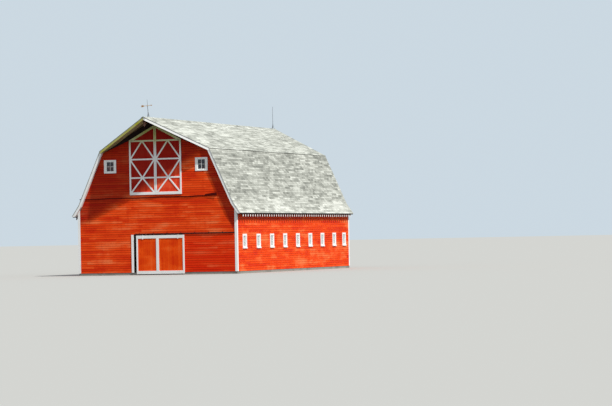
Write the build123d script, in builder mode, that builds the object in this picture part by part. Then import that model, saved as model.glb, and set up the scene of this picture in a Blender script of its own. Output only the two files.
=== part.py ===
from build123d import *
import math
import os

os.makedirs("parts", exist_ok=True)

# Timber barn with a gambrel roof, a prow-shaped hay hood over the front gable and one sliding door.
# Millimetres. The front gable faces -Y, +X is to the viewer's right, and z = 0 is the ground.
# The origin is the middle of the foundation's underside.

# Shell
barn_length = 20320
barn_width = 10360
wall_thickness = 160
slab_height = 150
loft_floor_level = 2850
loft_board_thickness = 30
joist_depth = 235
joist_width = 50
joist_spacing = 600
seat = 0.3  # gap left where two pieces bear on each other

# Gambrel section, measured to the top of the roof
eave_height = 3650
eave_overhang = 300
flare_rise = 620
flare_inset = 130
lower_slope_rise = 3285
knuckle_inset = 1610
upper_slope_rise = 1905
roof_thickness = 50
knuckle_drip = 45
front_rake_overhang = 170
back_rake_overhang = 50
hood_projection = 1710
ridge_cap_width = 300
ridge_cap_thickness = 15

# Roof timbers
rafter_spacing = 400
rafter_width = 45
rafter_depth = 140
tail_width = 90
tail_depth = 90
tail_setback = 5

# White boards along the roof's edges: their top lies just under the roof surface, and a thin soffit
# closes the overhang at their foot
edge_board_top = 15
edge_board_width = 140
edge_board_thickness = 40
soffit_thickness = 20
hood_soffit_width = 600
rake_foot_drop = 50

# Other white trim
trim_thickness = 45
corner_board_width = 125
corner_board_thickness = 30

# Windows: the hole in the wall, and the frame in it
lining_thickness = 20
sash_width = 45
sash_depth = 35
sash_recess = 30
glass_thickness = 4
gable_window_width = 580
gable_window_height = 690
gable_window_inset = 2190
gable_window_level = 6600
gable_side_casing = 110
gable_head_casing = 57
side_window_width = 510
side_window_height = 710
side_window_level = 1920
side_window_side_casing = 80
side_window_head_casing = 90
side_window_sill_height = 70
side_window_sill_depth = 80
side_window_first = 1200
side_window_pitch = 2300
side_window_last_pitch = 1960
side_window_end_margin = 700

# Fixed loft doors
loft_door_width = 3400
loft_door_sill = 4840
loft_door_drop = 360
loft_door_lap = 80
loft_leaf_thickness = 50
leaf_gap = 10
brace_thickness = 25
brace_width = 90
loft_inner_stile_width = 80
loft_outer_stile_width = 105
loft_head_board_width = 140
loft_top_rail_width = 95
loft_sill_rail_width = 165
loft_panel_height = 1115

# Doorway and sliding door
doorway_left = -1523
doorway_width = 3095
doorway_head = 2300
casing_post_width = 145
casing_post_thickness = 52
casing_post_top = 2440
inner_casing_width = 110
inner_casing_thickness = 40
door_width = 3143
door_top = 2386
door_bottom = 60
door_ajar = 195
door_wall_clearance = 50
door_board_thickness = 25
door_frame_thickness = 25
door_left_stile = 105
door_right_stile = 112
door_middle_stile = 180
door_middle_stile_offset = 1390
door_top_rail = 187
door_bottom_rail = 187

# Overhead track with its brackets, and the hangers
track_board_height = 120
track_board_thickness = 20
track_width = 46
track_height = 60
track_wall = 4
track_slot = 16
track_rise = 6
track_start_inset = 83
track_end_gap = 20
track_bracket_width = 40
track_bracket_thickness = 5
track_bracket_leg = 40
track_bracket_lip = 30
track_bracket_inset = 310
track_bracket_spacing = 900
hanger_inset = 420
hanger_plate_width = 60
hanger_plate_thickness = 6
hanger_plate_drop = 230
pendant_diameter = 8
wheel_diameter = 34
wheel_width = 8
wheel_centre = 13
axle_diameter = 8

# Hay track under the ridge
hay_track_width = 60
hay_track_depth = 120
hay_track_flange = 15
hay_track_web = 15
hay_track_setback = 40
carrier_setback = 120
carrier_wheel_diameter = 50
carrier_wheel_width = 12
carrier_wheel_spacing = 150
carrier_wheel_web_gap = 4
carrier_axle_diameter = 10
carrier_plate_gap = 6
carrier_plate_thickness = 10
carrier_plate_margin = 10
carrier_drop = 130
sheave_diameter = 110
sheave_core_diameter = 84
sheave_width = 30
sheave_rim_width = 8
sheave_pin_diameter = 16
ring_radius = 50
ring_thickness = 16

# Lightning rods and weather vane
rod_diameter = 26
rod_tip_diameter = 12
front_rod_place = 940
front_rod_length = 1060
front_rod_lean = 4
back_rod_place = 260
back_rod_length = 1480
rod_leg_diameter = 14
rod_leg_spread = 150
rod_leg_angles = (30, 150, 270)
rod_collar_height = 240
rod_collar_diameter = 46
rod_collar_length = 40
vane_height = 690
vane_length = 740
vane_tail_share = 420
vane_bar_diameter = 22
vane_tail_length = 240
vane_tail_height = 110
vane_head_length = 110
vane_head_height = 80
vane_plate = 8
vane_hub_diameter = 44
vane_hub_length = 60
vane_clearance = 0.4
spindle_diameter = 16
shoulder_diameter = 38
shoulder_height = 15

half_width = barn_width / 2
half_length = barn_length / 2
eave_x = half_width + eave_overhang
flare_x = half_width - flare_inset
knuckle_x = half_width - knuckle_inset
flare_height = eave_height + flare_rise
knuckle_height = flare_height + lower_slope_rise
ridge_height = knuckle_height + upper_slope_rise
under_roof = roof_thickness + seat
edge_board_foot = edge_board_top + edge_board_width
soffit_top = edge_board_foot - soffit_thickness
front_y = -half_length
rake_y = front_y - front_rake_overhang
tip_y = front_y - hood_projection

# Right-hand slopes, each from its upper corner to its lower one
UPPER = ((0, ridge_height), (knuckle_x, knuckle_height))
LOWER = ((knuckle_x, knuckle_height), (flare_x, flare_height))
FLARE = ((flare_x, flare_height), (eave_x, eave_height))


def slope_line(slope, drop=0.0):
    """Gradient and height at x = 0 of one right-hand slope, lowered square to itself by drop."""
    (x_a, z_a), (x_b, z_b) = slope
    gradient = (z_b - z_a) / (x_b - x_a)
    return gradient, z_a - gradient * x_a - drop * math.hypot(1, gradient)


def slope_z(slope, x, drop=0.0):
    """Height of one slope, lowered by drop, at a distance x from the middle."""
    gradient, height = slope_line(slope, drop)
    return gradient * x + height


def crossing(slope_a, drop_a, slope_b, drop_b):
    """Point where two lowered slopes meet."""
    gradient_a, height_a = slope_line(slope_a, drop_a)
    gradient_b, height_b = slope_line(slope_b, drop_b)
    x = (height_b - height_a) / (gradient_a - gradient_b)
    return x, gradient_a * x + height_a


def roof_section(drop, floor=0.0):
    """Closed outline of the whole gambrel, lowered by drop and cut off level at floor."""
    right = [
        crossing(UPPER, drop, LOWER, drop),
        crossing(LOWER, drop, FLARE, drop),
        (eave_x, slope_z(FLARE, eave_x, drop)),
        (eave_x, floor),
    ]
    left = [(-x, z) for x, z in reversed(right)]
    return left + [(0, slope_z(UPPER, 0, drop))] + right


def roof_plan():
    """Outline of the upper roof seen from above, with the prow of the hay hood."""
    back_y = half_length + back_rake_overhang
    return [
        (-eave_x, back_y),
        (-eave_x, rake_y),
        (-knuckle_x, rake_y),
        (0, tip_y),
        (knuckle_x, rake_y),
        (eave_x, rake_y),
        (eave_x, back_y),
    ]


def mirrored(points, side):
    """Points of a right-hand profile, or of its left-hand twin when side is -1."""
    return [(side * x, z) for x, z in points]


def save(piece, name):
    piece.part.label = name
    export_step(piece.part, f"parts/{name}.step")


front_plane = Plane.XZ.offset(half_length)
back_plane = Plane(origin=(0, half_length, 0), x_dir=(-1, 0, 0), z_dir=(0, 1, 0))
right_plane = Plane(origin=(half_width, 0, 0), x_dir=(0, 1, 0), z_dir=(1, 0, 0))
left_plane = Plane(origin=(-half_width, 0, 0), x_dir=(0, -1, 0), z_dir=(-1, 0, 0))
sides = {"left": -1, "right": 1}

doorway_right = doorway_left + doorway_width
loft_half = loft_door_width / 2
loft_hole_half = loft_half - loft_door_lap
loft_hole_sill = loft_door_sill + loft_door_lap
loft_hole_drop = loft_door_drop + loft_door_lap
hay_top = slope_z(UPPER, hay_track_width / 2, under_roof + rafter_depth + seat)
gable_window_x = half_width - gable_window_inset
gable_windows = [(-gable_window_x, gable_window_level), (gable_window_x, gable_window_level)]
even_run = barn_length - side_window_first - side_window_last_pitch - side_window_end_margin
even_windows = int(even_run / side_window_pitch) + 1
first_window_y = front_y + side_window_first
side_window_places = [first_window_y + side_window_pitch * count for count in range(even_windows)]
side_window_places.append(side_window_places[-1] + side_window_last_pitch)

# Foundation
with BuildPart() as foundation_slab:
    with BuildSketch():
        Rectangle(barn_width, barn_length)
    extrude(amount=slab_height)
save(foundation_slab, "foundation_slab")


# Front wall, split beside and over the doorway and the loft opening
def front_wall_piece(name, left, right, bottom, top):
    with BuildPart() as wall:
        with BuildSketch(front_plane):
            Polygon((left, bottom), (right, bottom), (right, top), (left, top))
            Polygon(*roof_section(under_roof), mode=Mode.INTERSECT)
            if bottom > doorway_head:
                with Locations(*gable_windows):
                    Rectangle(gable_window_width, gable_window_height, mode=Mode.SUBTRACT)
        extrude(amount=-wall_thickness)
    save(wall, name)


wall_foot = slab_height + seat
front_wall_piece("front_wall_left", -half_width, doorway_left, wall_foot, doorway_head)
front_wall_piece("front_wall_right", doorway_right, half_width, wall_foot, doorway_head)
front_wall_piece("front_wall_band", -half_width, half_width, doorway_head + seat, loft_hole_sill)
gable_foot = loft_hole_sill + seat
front_wall_piece("front_gable_left", -half_width, -loft_hole_half, gable_foot, ridge_height)
front_wall_piece("front_gable_right", loft_hole_half, half_width, gable_foot, ridge_height)

with BuildPart() as front_gable_peak:
    with BuildSketch(front_plane):
        Rectangle(2 * (loft_hole_half - seat), 2 * ridge_height)
        Polygon(*roof_section(under_roof), mode=Mode.INTERSECT)
        Polygon(*roof_section(loft_hole_drop), mode=Mode.SUBTRACT)
        with Locations((0, hay_top - hay_track_depth / 2)):
            Rectangle(hay_track_width + 2 * seat, hay_track_depth + 2 * seat, mode=Mode.SUBTRACT)
    extrude(amount=-wall_thickness)
save(front_gable_peak, "front_gable_peak")

with BuildPart() as back_wall:
    with BuildSketch(back_plane):
        Polygon(*roof_section(under_roof, wall_foot))
        Rectangle(barn_width, 2 * ridge_height, mode=Mode.INTERSECT)
        with Locations(*gable_windows):
            Rectangle(gable_window_width, gable_window_height, mode=Mode.SUBTRACT)
    extrude(amount=-wall_thickness)
save(back_wall, "back_wall")


# Side walls, with their tops cut to the underside of the flare
def side_wall(name, plane, direction):
    length = barn_length - 2 * wall_thickness - 2 * seat
    with BuildPart() as wall:
        with BuildSketch(plane):
            with Locations((0, flare_height / 2)):
                Rectangle(length, flare_height)
            with Locations(*[(direction * place, side_window_level) for place in side_window_places]):
                Rectangle(side_window_width, side_window_height, mode=Mode.SUBTRACT)
        extrude(amount=-wall_thickness)
        with BuildSketch(Plane.XZ):
            Polygon(*roof_section(under_roof, wall_foot))
        extrude(amount=half_length, both=True, mode=Mode.INTERSECT)
    save(wall, name)


side_wall("right_wall", right_plane, 1)
side_wall("left_wall", left_plane, -1)

# Loft floor on joists that bear on the side walls
inner_half = half_width - wall_thickness - seat
inner_length = barn_length - 2 * wall_thickness - 2 * seat
joist_top = loft_floor_level - loft_board_thickness - seat
joist_count = int((inner_length - joist_width) / joist_spacing) + 1
with BuildPart() as loft_floor:
    with BuildSketch(Plane.XY.offset(loft_floor_level - loft_board_thickness)):
        Rectangle(2 * inner_half, inner_length)
    extrude(amount=loft_board_thickness)
save(loft_floor, "loft_floor")

with BuildPart() as loft_joists:
    with BuildSketch(Plane.XY.offset(joist_top - joist_depth)):
        with GridLocations(0, joist_spacing, 1, joist_count):
            Rectangle(2 * inner_half, joist_width)
    extrude(amount=joist_depth)
save(loft_joists, "loft_joists")


# Roof slopes
def upper_slope_profile(side):
    gradient, _ = slope_line(UPPER)
    stretch = math.hypot(1, gradient)
    drip_x = knuckle_x + knuckle_drip / stretch
    drip_z = slope_z(UPPER, drip_x)
    under_x = drip_x + roof_thickness * gradient / stretch
    under_z = drip_z - roof_thickness / stretch
    return mirrored(
        [
            (seat / 2, slope_z(UPPER, seat / 2)),
            (drip_x, drip_z),
            (under_x, under_z),
            (seat / 2, slope_z(UPPER, seat / 2, roof_thickness)),
        ],
        side,
    )


def lower_slope_profile(side):
    return mirrored(
        [
            crossing(LOWER, 0, UPPER, under_roof),
            crossing(LOWER, 0, FLARE, 0),
            (eave_x, eave_height),
            (eave_x, slope_z(FLARE, eave_x, roof_thickness)),
            crossing(LOWER, roof_thickness, FLARE, roof_thickness),
            crossing(LOWER, roof_thickness, UPPER, under_roof),
        ],
        side,
    )


for side_name, side in sides.items():
    with BuildPart() as roof_upper:
        with BuildSketch(Plane.XZ):
            Polygon(*upper_slope_profile(side))
        extrude(amount=half_length + hood_projection, both=True)
        with BuildSketch(Plane.XY):
            Polygon(*roof_plan())
        extrude(amount=2 * ridge_height, mode=Mode.INTERSECT)
    save(roof_upper, f"roof_upper_{side_name}")

    with BuildPart() as roof_lower:
        with BuildSketch(Plane.XZ.offset(half_length + front_rake_overhang)):
            Polygon(*lower_slope_profile(side))
        extrude(amount=-(barn_length + front_rake_overhang + back_rake_overhang))
    save(roof_lower, f"roof_lower_{side_name}")

with BuildPart() as ridge_cap:
    cap_half = ridge_cap_width / 2
    with BuildSketch(Plane.XZ):
        Polygon(
            (-cap_half, slope_z(UPPER, cap_half, -seat)),
            (0, slope_z(UPPER, 0, -seat)),
            (cap_half, slope_z(UPPER, cap_half, -seat)),
            (cap_half, slope_z(UPPER, cap_half, -seat - ridge_cap_thickness)),
            (0, slope_z(UPPER, 0, -seat - ridge_cap_thickness)),
            (-cap_half, slope_z(UPPER, cap_half, -seat - ridge_cap_thickness)),
        )
    extrude(amount=half_length + hood_projection, both=True)
    with BuildSketch(Plane.XY):
        Polygon(*roof_plan())
    extrude(amount=2 * ridge_height, mode=Mode.INTERSECT)
save(ridge_cap, "ridge_cap")

# Rafters inside the loft, one pair to every second eave tail
tail_count = int((barn_length - 2 * corner_board_width - tail_width) / rafter_spacing) + 1
tail_places = [rafter_spacing * (count - (tail_count - 1) / 2) for count in range(tail_count)]
rafter_foot = half_width - wall_thickness - seat
rafter_under = under_roof + rafter_depth


def rafter_profile(side):
    return mirrored(
        [
            (seat / 2, slope_z(UPPER, seat / 2, under_roof)),
            crossing(UPPER, under_roof, LOWER, under_roof),
            (rafter_foot, slope_z(LOWER, rafter_foot, under_roof)),
            (rafter_foot, slope_z(LOWER, rafter_foot, rafter_under)),
            crossing(UPPER, rafter_under, LOWER, rafter_under),
            (seat / 2, slope_z(UPPER, seat / 2, rafter_under)),
        ],
        side,
    )


with BuildPart() as roof_rafters:
    for place in tail_places[::2]:
        with BuildSketch(Plane.XZ.offset(-place)):
            for side in sides.values():
                Polygon(*rafter_profile(side))
        extrude(amount=rafter_width / 2, both=True)
save(roof_rafters, "roof_rafters")


# Short tails that carry the flare outside the side walls
def tail_profile(side):
    wall_x, end_x = half_width + seat, eave_x - tail_setback
    return mirrored(
        [
            (wall_x, slope_z(FLARE, wall_x, under_roof)),
            (end_x, slope_z(FLARE, end_x, under_roof)),
            (end_x, slope_z(FLARE, end_x, under_roof + tail_depth)),
            (wall_x, slope_z(FLARE, wall_x, under_roof + tail_depth)),
        ],
        side,
    )


for side_name, side in sides.items():
    with BuildPart() as eave_tails:
        for place in tail_places:
            with BuildSketch(Plane.XZ.offset(-place)):
                Polygon(*tail_profile(side))
            extrude(amount=tail_width / 2, both=True)
    save(eave_tails, f"eave_tails_{side_name}")


# Hay hood: white boards along its slanting edges, a soffit behind them, and short rafters above it
hood_gradient = (rake_y - tip_y) / knuckle_x
hood_stretch = math.hypot(1, hood_gradient)
hood_board_back = -seat * hood_stretch
hood_board_face = -(seat + edge_board_thickness) * hood_stretch
hood_board_end = knuckle_x - seat / 2
hood_soffit_end = crossing(LOWER, edge_board_foot, UPPER, edge_board_foot)[0] - seat


def hood_edge(x, inset):
    """Y of the hood's slanting front edge at x, moved back along Y by inset."""
    return tip_y + hood_gradient * x + inset


def hood_strip(side, end_x, front, back):
    """Plan of a strip along one slanting edge, between two insets from it."""
    return mirrored(
        [
            (seat / 2, hood_edge(seat / 2, front)),
            (end_x, hood_edge(end_x, front)),
            (end_x, hood_edge(end_x, back)),
            (seat / 2, hood_edge(seat / 2, back)),
        ],
        side,
    )


def upper_band(side, end_x, top_drop, foot_drop):
    """Section between two lowered lines of the upper slope, from the ridge out to end_x."""
    return mirrored(
        [
            (seat / 2, slope_z(UPPER, seat / 2, top_drop)),
            (end_x, slope_z(UPPER, end_x, top_drop)),
            (end_x, slope_z(UPPER, end_x, foot_drop)),
            (seat / 2, slope_z(UPPER, seat / 2, foot_drop)),
        ],
        side,
    )


with BuildPart() as hood_barge_boards:
    with BuildSketch(Plane.XY):
        for side in sides.values():
            Polygon(*hood_strip(side, hood_board_end, hood_board_face, hood_board_back))
    extrude(amount=ridge_height)
    with BuildSketch(Plane.XZ):
        for side in sides.values():
            Polygon(*upper_band(side, hood_board_end, edge_board_top, edge_board_foot))
    extrude(amount=barn_length, both=True, mode=Mode.INTERSECT)
save(hood_barge_boards, "hood_barge_boards")

with BuildPart() as hood_soffit_boards:
    with BuildSketch(Plane.XY):
        for side in sides.values():
            Polygon(*hood_strip(side, hood_soffit_end, 0, hood_soffit_width))
        with Locations((0, front_y - seat - hood_projection / 2)):
            Rectangle(barn_width, hood_projection, mode=Mode.INTERSECT)
    extrude(amount=ridge_height)
    with BuildSketch(Plane.XZ):
        for side in sides.values():
            Polygon(*upper_band(side, hood_soffit_end, soffit_top, edge_board_foot))
    extrude(amount=barn_length, both=True, mode=Mode.INTERSECT)
save(hood_soffit_boards, "hood_soffit_boards")

hood_rafter_count = int((hood_projection - front_rake_overhang) / rafter_spacing)
with BuildPart() as hood_rafters:
    for count in range(hood_rafter_count):
        with BuildSketch(front_plane.offset(rafter_spacing * (count + 1))):
            for side in sides.values():
                Polygon(*upper_band(side, hood_board_end, under_roof, soffit_top - seat))
        extrude(amount=rafter_width / 2, both=True)
    with BuildSketch(Plane.XY):
        Polygon(
            (-knuckle_x, front_y),
            (-knuckle_x, hood_edge(knuckle_x, seat)),
            (0, hood_edge(0, seat)),
            (knuckle_x, hood_edge(knuckle_x, seat)),
            (knuckle_x, front_y),
        )
    extrude(amount=2 * ridge_height, mode=Mode.INTERSECT)
save(hood_rafters, "hood_rafters")


# White rake boards, each with a soffit from its foot back to the wall, and both cut off level at the eave
def rake_section(top_points, top_drop):
    """Sketch both rakes, from top_drop down to the boards' foot."""
    for side in sides.values():
        eave_points = [
            crossing(LOWER, top_drop, FLARE, top_drop),
            (eave_x, slope_z(FLARE, eave_x, top_drop)),
            (eave_x, slope_z(FLARE, eave_x, edge_board_foot)),
            crossing(LOWER, edge_board_foot, FLARE, edge_board_foot),
        ]
        Polygon(*mirrored(top_points + eave_points, side))
    rake_foot = eave_height - rake_foot_drop
    with Locations((0, rake_foot / 2)):
        Rectangle(2 * barn_width, rake_foot, mode=Mode.SUBTRACT)


def front_rake_top(top_drop):
    """Head of a front rake, cut to the foot of the hood's board and to its end."""
    joint_x = knuckle_x + seat / 2
    under_hood = edge_board_foot + seat
    return [
        crossing(LOWER, edge_board_foot, UPPER, under_hood),
        (joint_x, slope_z(UPPER, joint_x, under_hood)),
        (joint_x, slope_z(LOWER, joint_x, top_drop)),
    ]


def back_rake_top(top_drop):
    """Head of a back rake, up to the ridge."""
    return [
        crossing(LOWER, edge_board_foot, UPPER, edge_board_foot),
        (seat / 2, slope_z(UPPER, seat / 2, edge_board_foot)),
        (seat / 2, slope_z(UPPER, seat / 2, top_drop)),
        crossing(LOWER, top_drop, UPPER, top_drop),
    ]


soffit_head = [
    crossing(LOWER, edge_board_foot, UPPER, edge_board_foot + seat),
    crossing(LOWER, soffit_top, UPPER, edge_board_foot + seat),
]
with BuildPart() as front_rake_boards:
    with BuildSketch(front_plane.offset(front_rake_overhang + seat)):
        rake_section(front_rake_top(edge_board_top), edge_board_top)
    extrude(amount=edge_board_thickness)
    with BuildSketch(front_plane.offset(seat)):
        rake_section(soffit_head, soffit_top)
    extrude(amount=front_rake_overhang)
save(front_rake_boards, "front_rake_boards")

with BuildPart() as back_rake_boards:
    with BuildSketch(back_plane.offset(back_rake_overhang + seat)):
        rake_section(back_rake_top(edge_board_top), edge_board_top)
    extrude(amount=edge_board_thickness)
    with BuildSketch(back_plane.offset(seat)):
        rake_section(back_rake_top(soffit_top), soffit_top)
    extrude(amount=back_rake_overhang)
save(back_rake_boards, "back_rake_boards")

# Corner boards, one L to each corner, cut to the foot of the rake boards
with BuildPart() as corner_boards:
    with BuildSketch(Plane.XY.offset(wall_foot)):
        Rectangle(barn_width + 2 * corner_board_thickness, barn_length + 2 * corner_board_thickness)
        Rectangle(barn_width + 2 * seat, barn_length + 2 * seat, mode=Mode.SUBTRACT)
        Rectangle(
            barn_width + 4 * corner_board_thickness,
            barn_length - 2 * corner_board_width,
            mode=Mode.SUBTRACT,
        )
        Rectangle(
            barn_width - 2 * corner_board_width,
            barn_length + 4 * corner_board_thickness,
            mode=Mode.SUBTRACT,
        )
    extrude(amount=flare_height)
    with BuildSketch(Plane.XZ):
        Polygon(*roof_section(edge_board_foot + seat))
    extrude(amount=barn_length, both=True, mode=Mode.INTERSECT)
save(corner_boards, "corner_boards")


# Windows: casing on the wall, lining through it, and a sash with its glass set back in the lining.
# The casing's foot is a sill, which stands out further where sill_depth is more than the casing's thickness.
def windows(name, planes_and_places, width, height, side_casing, head_casing, sill_height, sill_depth):
    inner_width, inner_height = width - 2 * lining_thickness, height - 2 * lining_thickness
    pane_width, pane_height = inner_width - 2 * sash_width, inner_height - 2 * sash_width
    casing_width, casing_height = width + 2 * side_casing, height + head_casing + sill_height
    with BuildPart() as frames:
        for plane, places in planes_and_places:
            casing_places = [(x, z + (head_casing - sill_height) / 2) for x, z in places]
            sill_places = [(x, z - (height + sill_height) / 2) for x, z in places]
            with BuildSketch(plane.offset(seat)):
                with Locations(*casing_places):
                    Rectangle(casing_width, casing_height)
                with Locations(*places):
                    Rectangle(inner_width, inner_height, mode=Mode.SUBTRACT)
            extrude(amount=trim_thickness - seat)
            with BuildSketch(plane.offset(seat)):
                with Locations(*sill_places):
                    Rectangle(casing_width, sill_height)
            extrude(amount=sill_depth - seat)
            with BuildSketch(plane.offset(trim_thickness)):
                with Locations(*places):
                    Rectangle(width - 2 * seat, height - 2 * seat)
                    Rectangle(inner_width, inner_height, mode=Mode.SUBTRACT)
            extrude(amount=-(trim_thickness + wall_thickness))
            with BuildSketch(plane.offset(trim_thickness - sash_recess)):
                with Locations(*places):
                    Rectangle(inner_width, inner_height)
                    Rectangle(pane_width, pane_height, mode=Mode.SUBTRACT)
            extrude(amount=-sash_depth)
    save(frames, f"{name}_frames")
    with BuildPart() as glass:
        for plane, places in planes_and_places:
            with BuildSketch(plane.offset(trim_thickness - sash_recess - sash_depth / 2)):
                with Locations(*places):
                    Rectangle(pane_width - 2 * seat, pane_height - 2 * seat)
            extrude(amount=-glass_thickness)
    save(glass, f"{name}_glass")


windows(
    "gable_window",
    [(front_plane, gable_windows), (back_plane, gable_windows)],
    gable_window_width,
    gable_window_height,
    gable_side_casing,
    gable_head_casing,
    gable_head_casing,
    trim_thickness,
)
for side_name, plane, direction in (("right", right_plane, 1), ("left", left_plane, -1)):
    windows(
        f"{side_name}_window",
        [(plane, [(direction * place, side_window_level) for place in side_window_places])],
        side_window_width,
        side_window_height,
        side_window_side_casing,
        side_window_head_casing,
        side_window_sill_height,
        side_window_sill_depth,
    )


# Loft doors: a boarded leaf on each side of the middle, with its white frame and braces planted on
def loft_leaf_outline(side):
    return mirrored(
        [
            (leaf_gap / 2, loft_door_sill),
            (loft_half, loft_door_sill),
            (loft_half, slope_z(UPPER, loft_half, loft_door_drop)),
            (leaf_gap / 2, slope_z(UPPER, leaf_gap / 2, loft_door_drop)),
        ],
        side,
    )


def brace(start, end):
    """Straight board laid from start to end."""
    (x_a, z_a), (x_b, z_b) = start, end
    length = math.hypot(x_b - x_a, z_b - z_a)
    angle = math.degrees(math.atan2(z_b - z_a, x_b - x_a))
    with Locations(((x_a + x_b) / 2, (z_a + z_b) / 2)):
        Rectangle(length, brace_width, rotation=angle)


def loft_bracing(side):
    inner, outer = leaf_gap / 2 + loft_inner_stile_width / 2, loft_half - loft_outer_stile_width / 2
    middle = (inner + outer) / 2
    top = slope_z(UPPER, loft_half, loft_door_drop) - loft_top_rail_width / 2
    bottom = loft_door_sill + loft_sill_rail_width / 2
    upper_rail, lower_rail = top - loft_panel_height, top - 2 * loft_panel_height
    for x, width in ((inner, loft_inner_stile_width), (outer, loft_outer_stile_width)):
        with Locations((side * x, (loft_door_sill + ridge_height) / 2)):
            Rectangle(width, ridge_height - loft_door_sill)
    for z, width in (
        (top, loft_top_rail_width),
        (upper_rail, brace_width),
        (lower_rail, brace_width),
        (bottom, loft_sill_rail_width),
    ):
        with Locations((side * middle, z)):
            Rectangle(outer - inner, width)
    for x in (inner, outer):
        brace((side * x, upper_rail), (side * middle, top))
        brace((side * x, upper_rail), (side * middle, lower_rail))
        brace((side * x, bottom), (side * middle, lower_rail))
    Polygon(
        *mirrored(
            [
                (inner, slope_z(UPPER, inner, loft_door_drop)),
                (outer, slope_z(UPPER, outer, loft_door_drop)),
                (outer, slope_z(UPPER, outer, loft_door_drop + loft_head_board_width)),
                (inner, slope_z(UPPER, inner, loft_door_drop + loft_head_board_width)),
            ],
            side,
        )
    )
    Polygon(*loft_leaf_outline(side), mode=Mode.INTERSECT)


for side_name, side in sides.items():
    with BuildPart() as loft_door:
        with BuildSketch(front_plane.offset(seat)):
            Polygon(*loft_leaf_outline(side))
        extrude(amount=loft_leaf_thickness - seat)
    save(loft_door, f"loft_door_{side_name}")
    with BuildPart() as loft_door_bracing:
        with BuildSketch(front_plane.offset(loft_leaf_thickness + seat)):
            loft_bracing(side)
        extrude(amount=brace_thickness)
    save(loft_door_bracing, f"loft_door_bracing_{side_name}")

# Doorway casings: the proud post that the door closes against, and a flat one behind the door
with BuildPart() as door_casings:
    with BuildSketch(front_plane.offset(seat)):
        with Locations((doorway_left - casing_post_width / 2, (wall_foot + casing_post_top) / 2)):
            Rectangle(casing_post_width, casing_post_top - wall_foot)
    extrude(amount=casing_post_thickness - seat)
    with BuildSketch(front_plane.offset(seat)):
        with Locations((doorway_right + inner_casing_width / 2, (wall_foot + door_top) / 2)):
            Rectangle(inner_casing_width, door_top - wall_foot)
    extrude(amount=inner_casing_thickness - seat)
save(door_casings, "door_casings")

# Overhead track: a slotted steel box on a ledger board, with brackets folded over its top
track_start = doorway_left + track_start_inset
track_end = half_width - corner_board_width - track_end_gap
track_board_bottom = casing_post_top + seat
track_bottom = track_board_bottom + track_rise
track_top = track_bottom + track_height
track_back = track_board_thickness + seat
track_face = track_back + track_width
track_middle = track_back + track_width / 2
bracket_run = track_end - track_start - 2 * track_bracket_inset
bracket_count = int(bracket_run / track_bracket_spacing) + 1
with BuildPart() as track_board:
    with BuildSketch(front_plane.offset(seat)):
        with Locations(
            (
                (doorway_left - casing_post_width + track_end) / 2,
                track_board_bottom + track_board_height / 2,
            )
        ):
            Rectangle(track_end - doorway_left + casing_post_width, track_board_height)
    extrude(amount=track_board_thickness - seat)
save(track_board, "track_board")


def across_track(x):
    """Plane square to the track at x: local X runs out from the wall, local Y runs up."""
    return Plane(origin=(x, front_y, 0), x_dir=(0, -1, 0), z_dir=(-1, 0, 0))


with BuildPart() as door_track:
    with BuildSketch(across_track(track_start)):
        with Locations((track_middle, track_bottom + track_height / 2)):
            Rectangle(track_width, track_height)
            Rectangle(track_width - 2 * track_wall, track_height - 2 * track_wall, mode=Mode.SUBTRACT)
        with Locations((track_middle, track_bottom + track_wall / 2)):
            Rectangle(track_slot, 2 * track_wall, mode=Mode.SUBTRACT)
    extrude(amount=-(track_end - track_start))
    for count in range(bracket_count):
        with BuildSketch(across_track(track_start + track_bracket_inset + count * track_bracket_spacing)):
            Polygon(
                (track_back, track_top),
                (track_back, track_top + track_bracket_leg),
                (track_back + track_bracket_thickness, track_top + track_bracket_leg),
                (track_back + track_bracket_thickness, track_top + track_bracket_thickness),
                (track_face + track_bracket_thickness, track_top + track_bracket_thickness),
                (track_face + track_bracket_thickness, track_top - track_bracket_lip),
                (track_face, track_top - track_bracket_lip),
                (track_face, track_top),
            )
        extrude(amount=track_bracket_width / 2, both=True)
save(door_track, "door_track")

# Sliding door, standing a hand's width open
door_left = doorway_left + door_ajar
door_right = door_left + door_width
door_height = door_top - door_bottom
with BuildPart() as sliding_door_boards:
    with BuildSketch(front_plane.offset(door_wall_clearance)):
        with Locations(((door_left + door_right) / 2, (door_top + door_bottom) / 2)):
            Rectangle(door_width, door_height)
    extrude(amount=door_board_thickness)
save(sliding_door_boards, "sliding_door_boards")

frame_back = door_wall_clearance + door_board_thickness + seat
stile_middle = door_left + door_middle_stile_offset
panel_foot, panel_head = door_bottom + door_bottom_rail, door_top - door_top_rail
panel_edges = [
    (door_left + door_left_stile, stile_middle - door_middle_stile / 2),
    (stile_middle + door_middle_stile / 2, door_right - door_right_stile),
]
with BuildPart() as sliding_door_frame:
    with BuildSketch(front_plane.offset(frame_back)):
        with Locations(((door_left + door_right) / 2, (door_top + door_bottom) / 2)):
            Rectangle(door_width, door_height)
        for left, right in panel_edges:
            with Locations(((left + right) / 2, (panel_foot + panel_head) / 2)):
                Rectangle(right - left, panel_head - panel_foot, mode=Mode.SUBTRACT)
    extrude(amount=door_frame_thickness)
save(sliding_door_frame, "sliding_door_frame")

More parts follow.
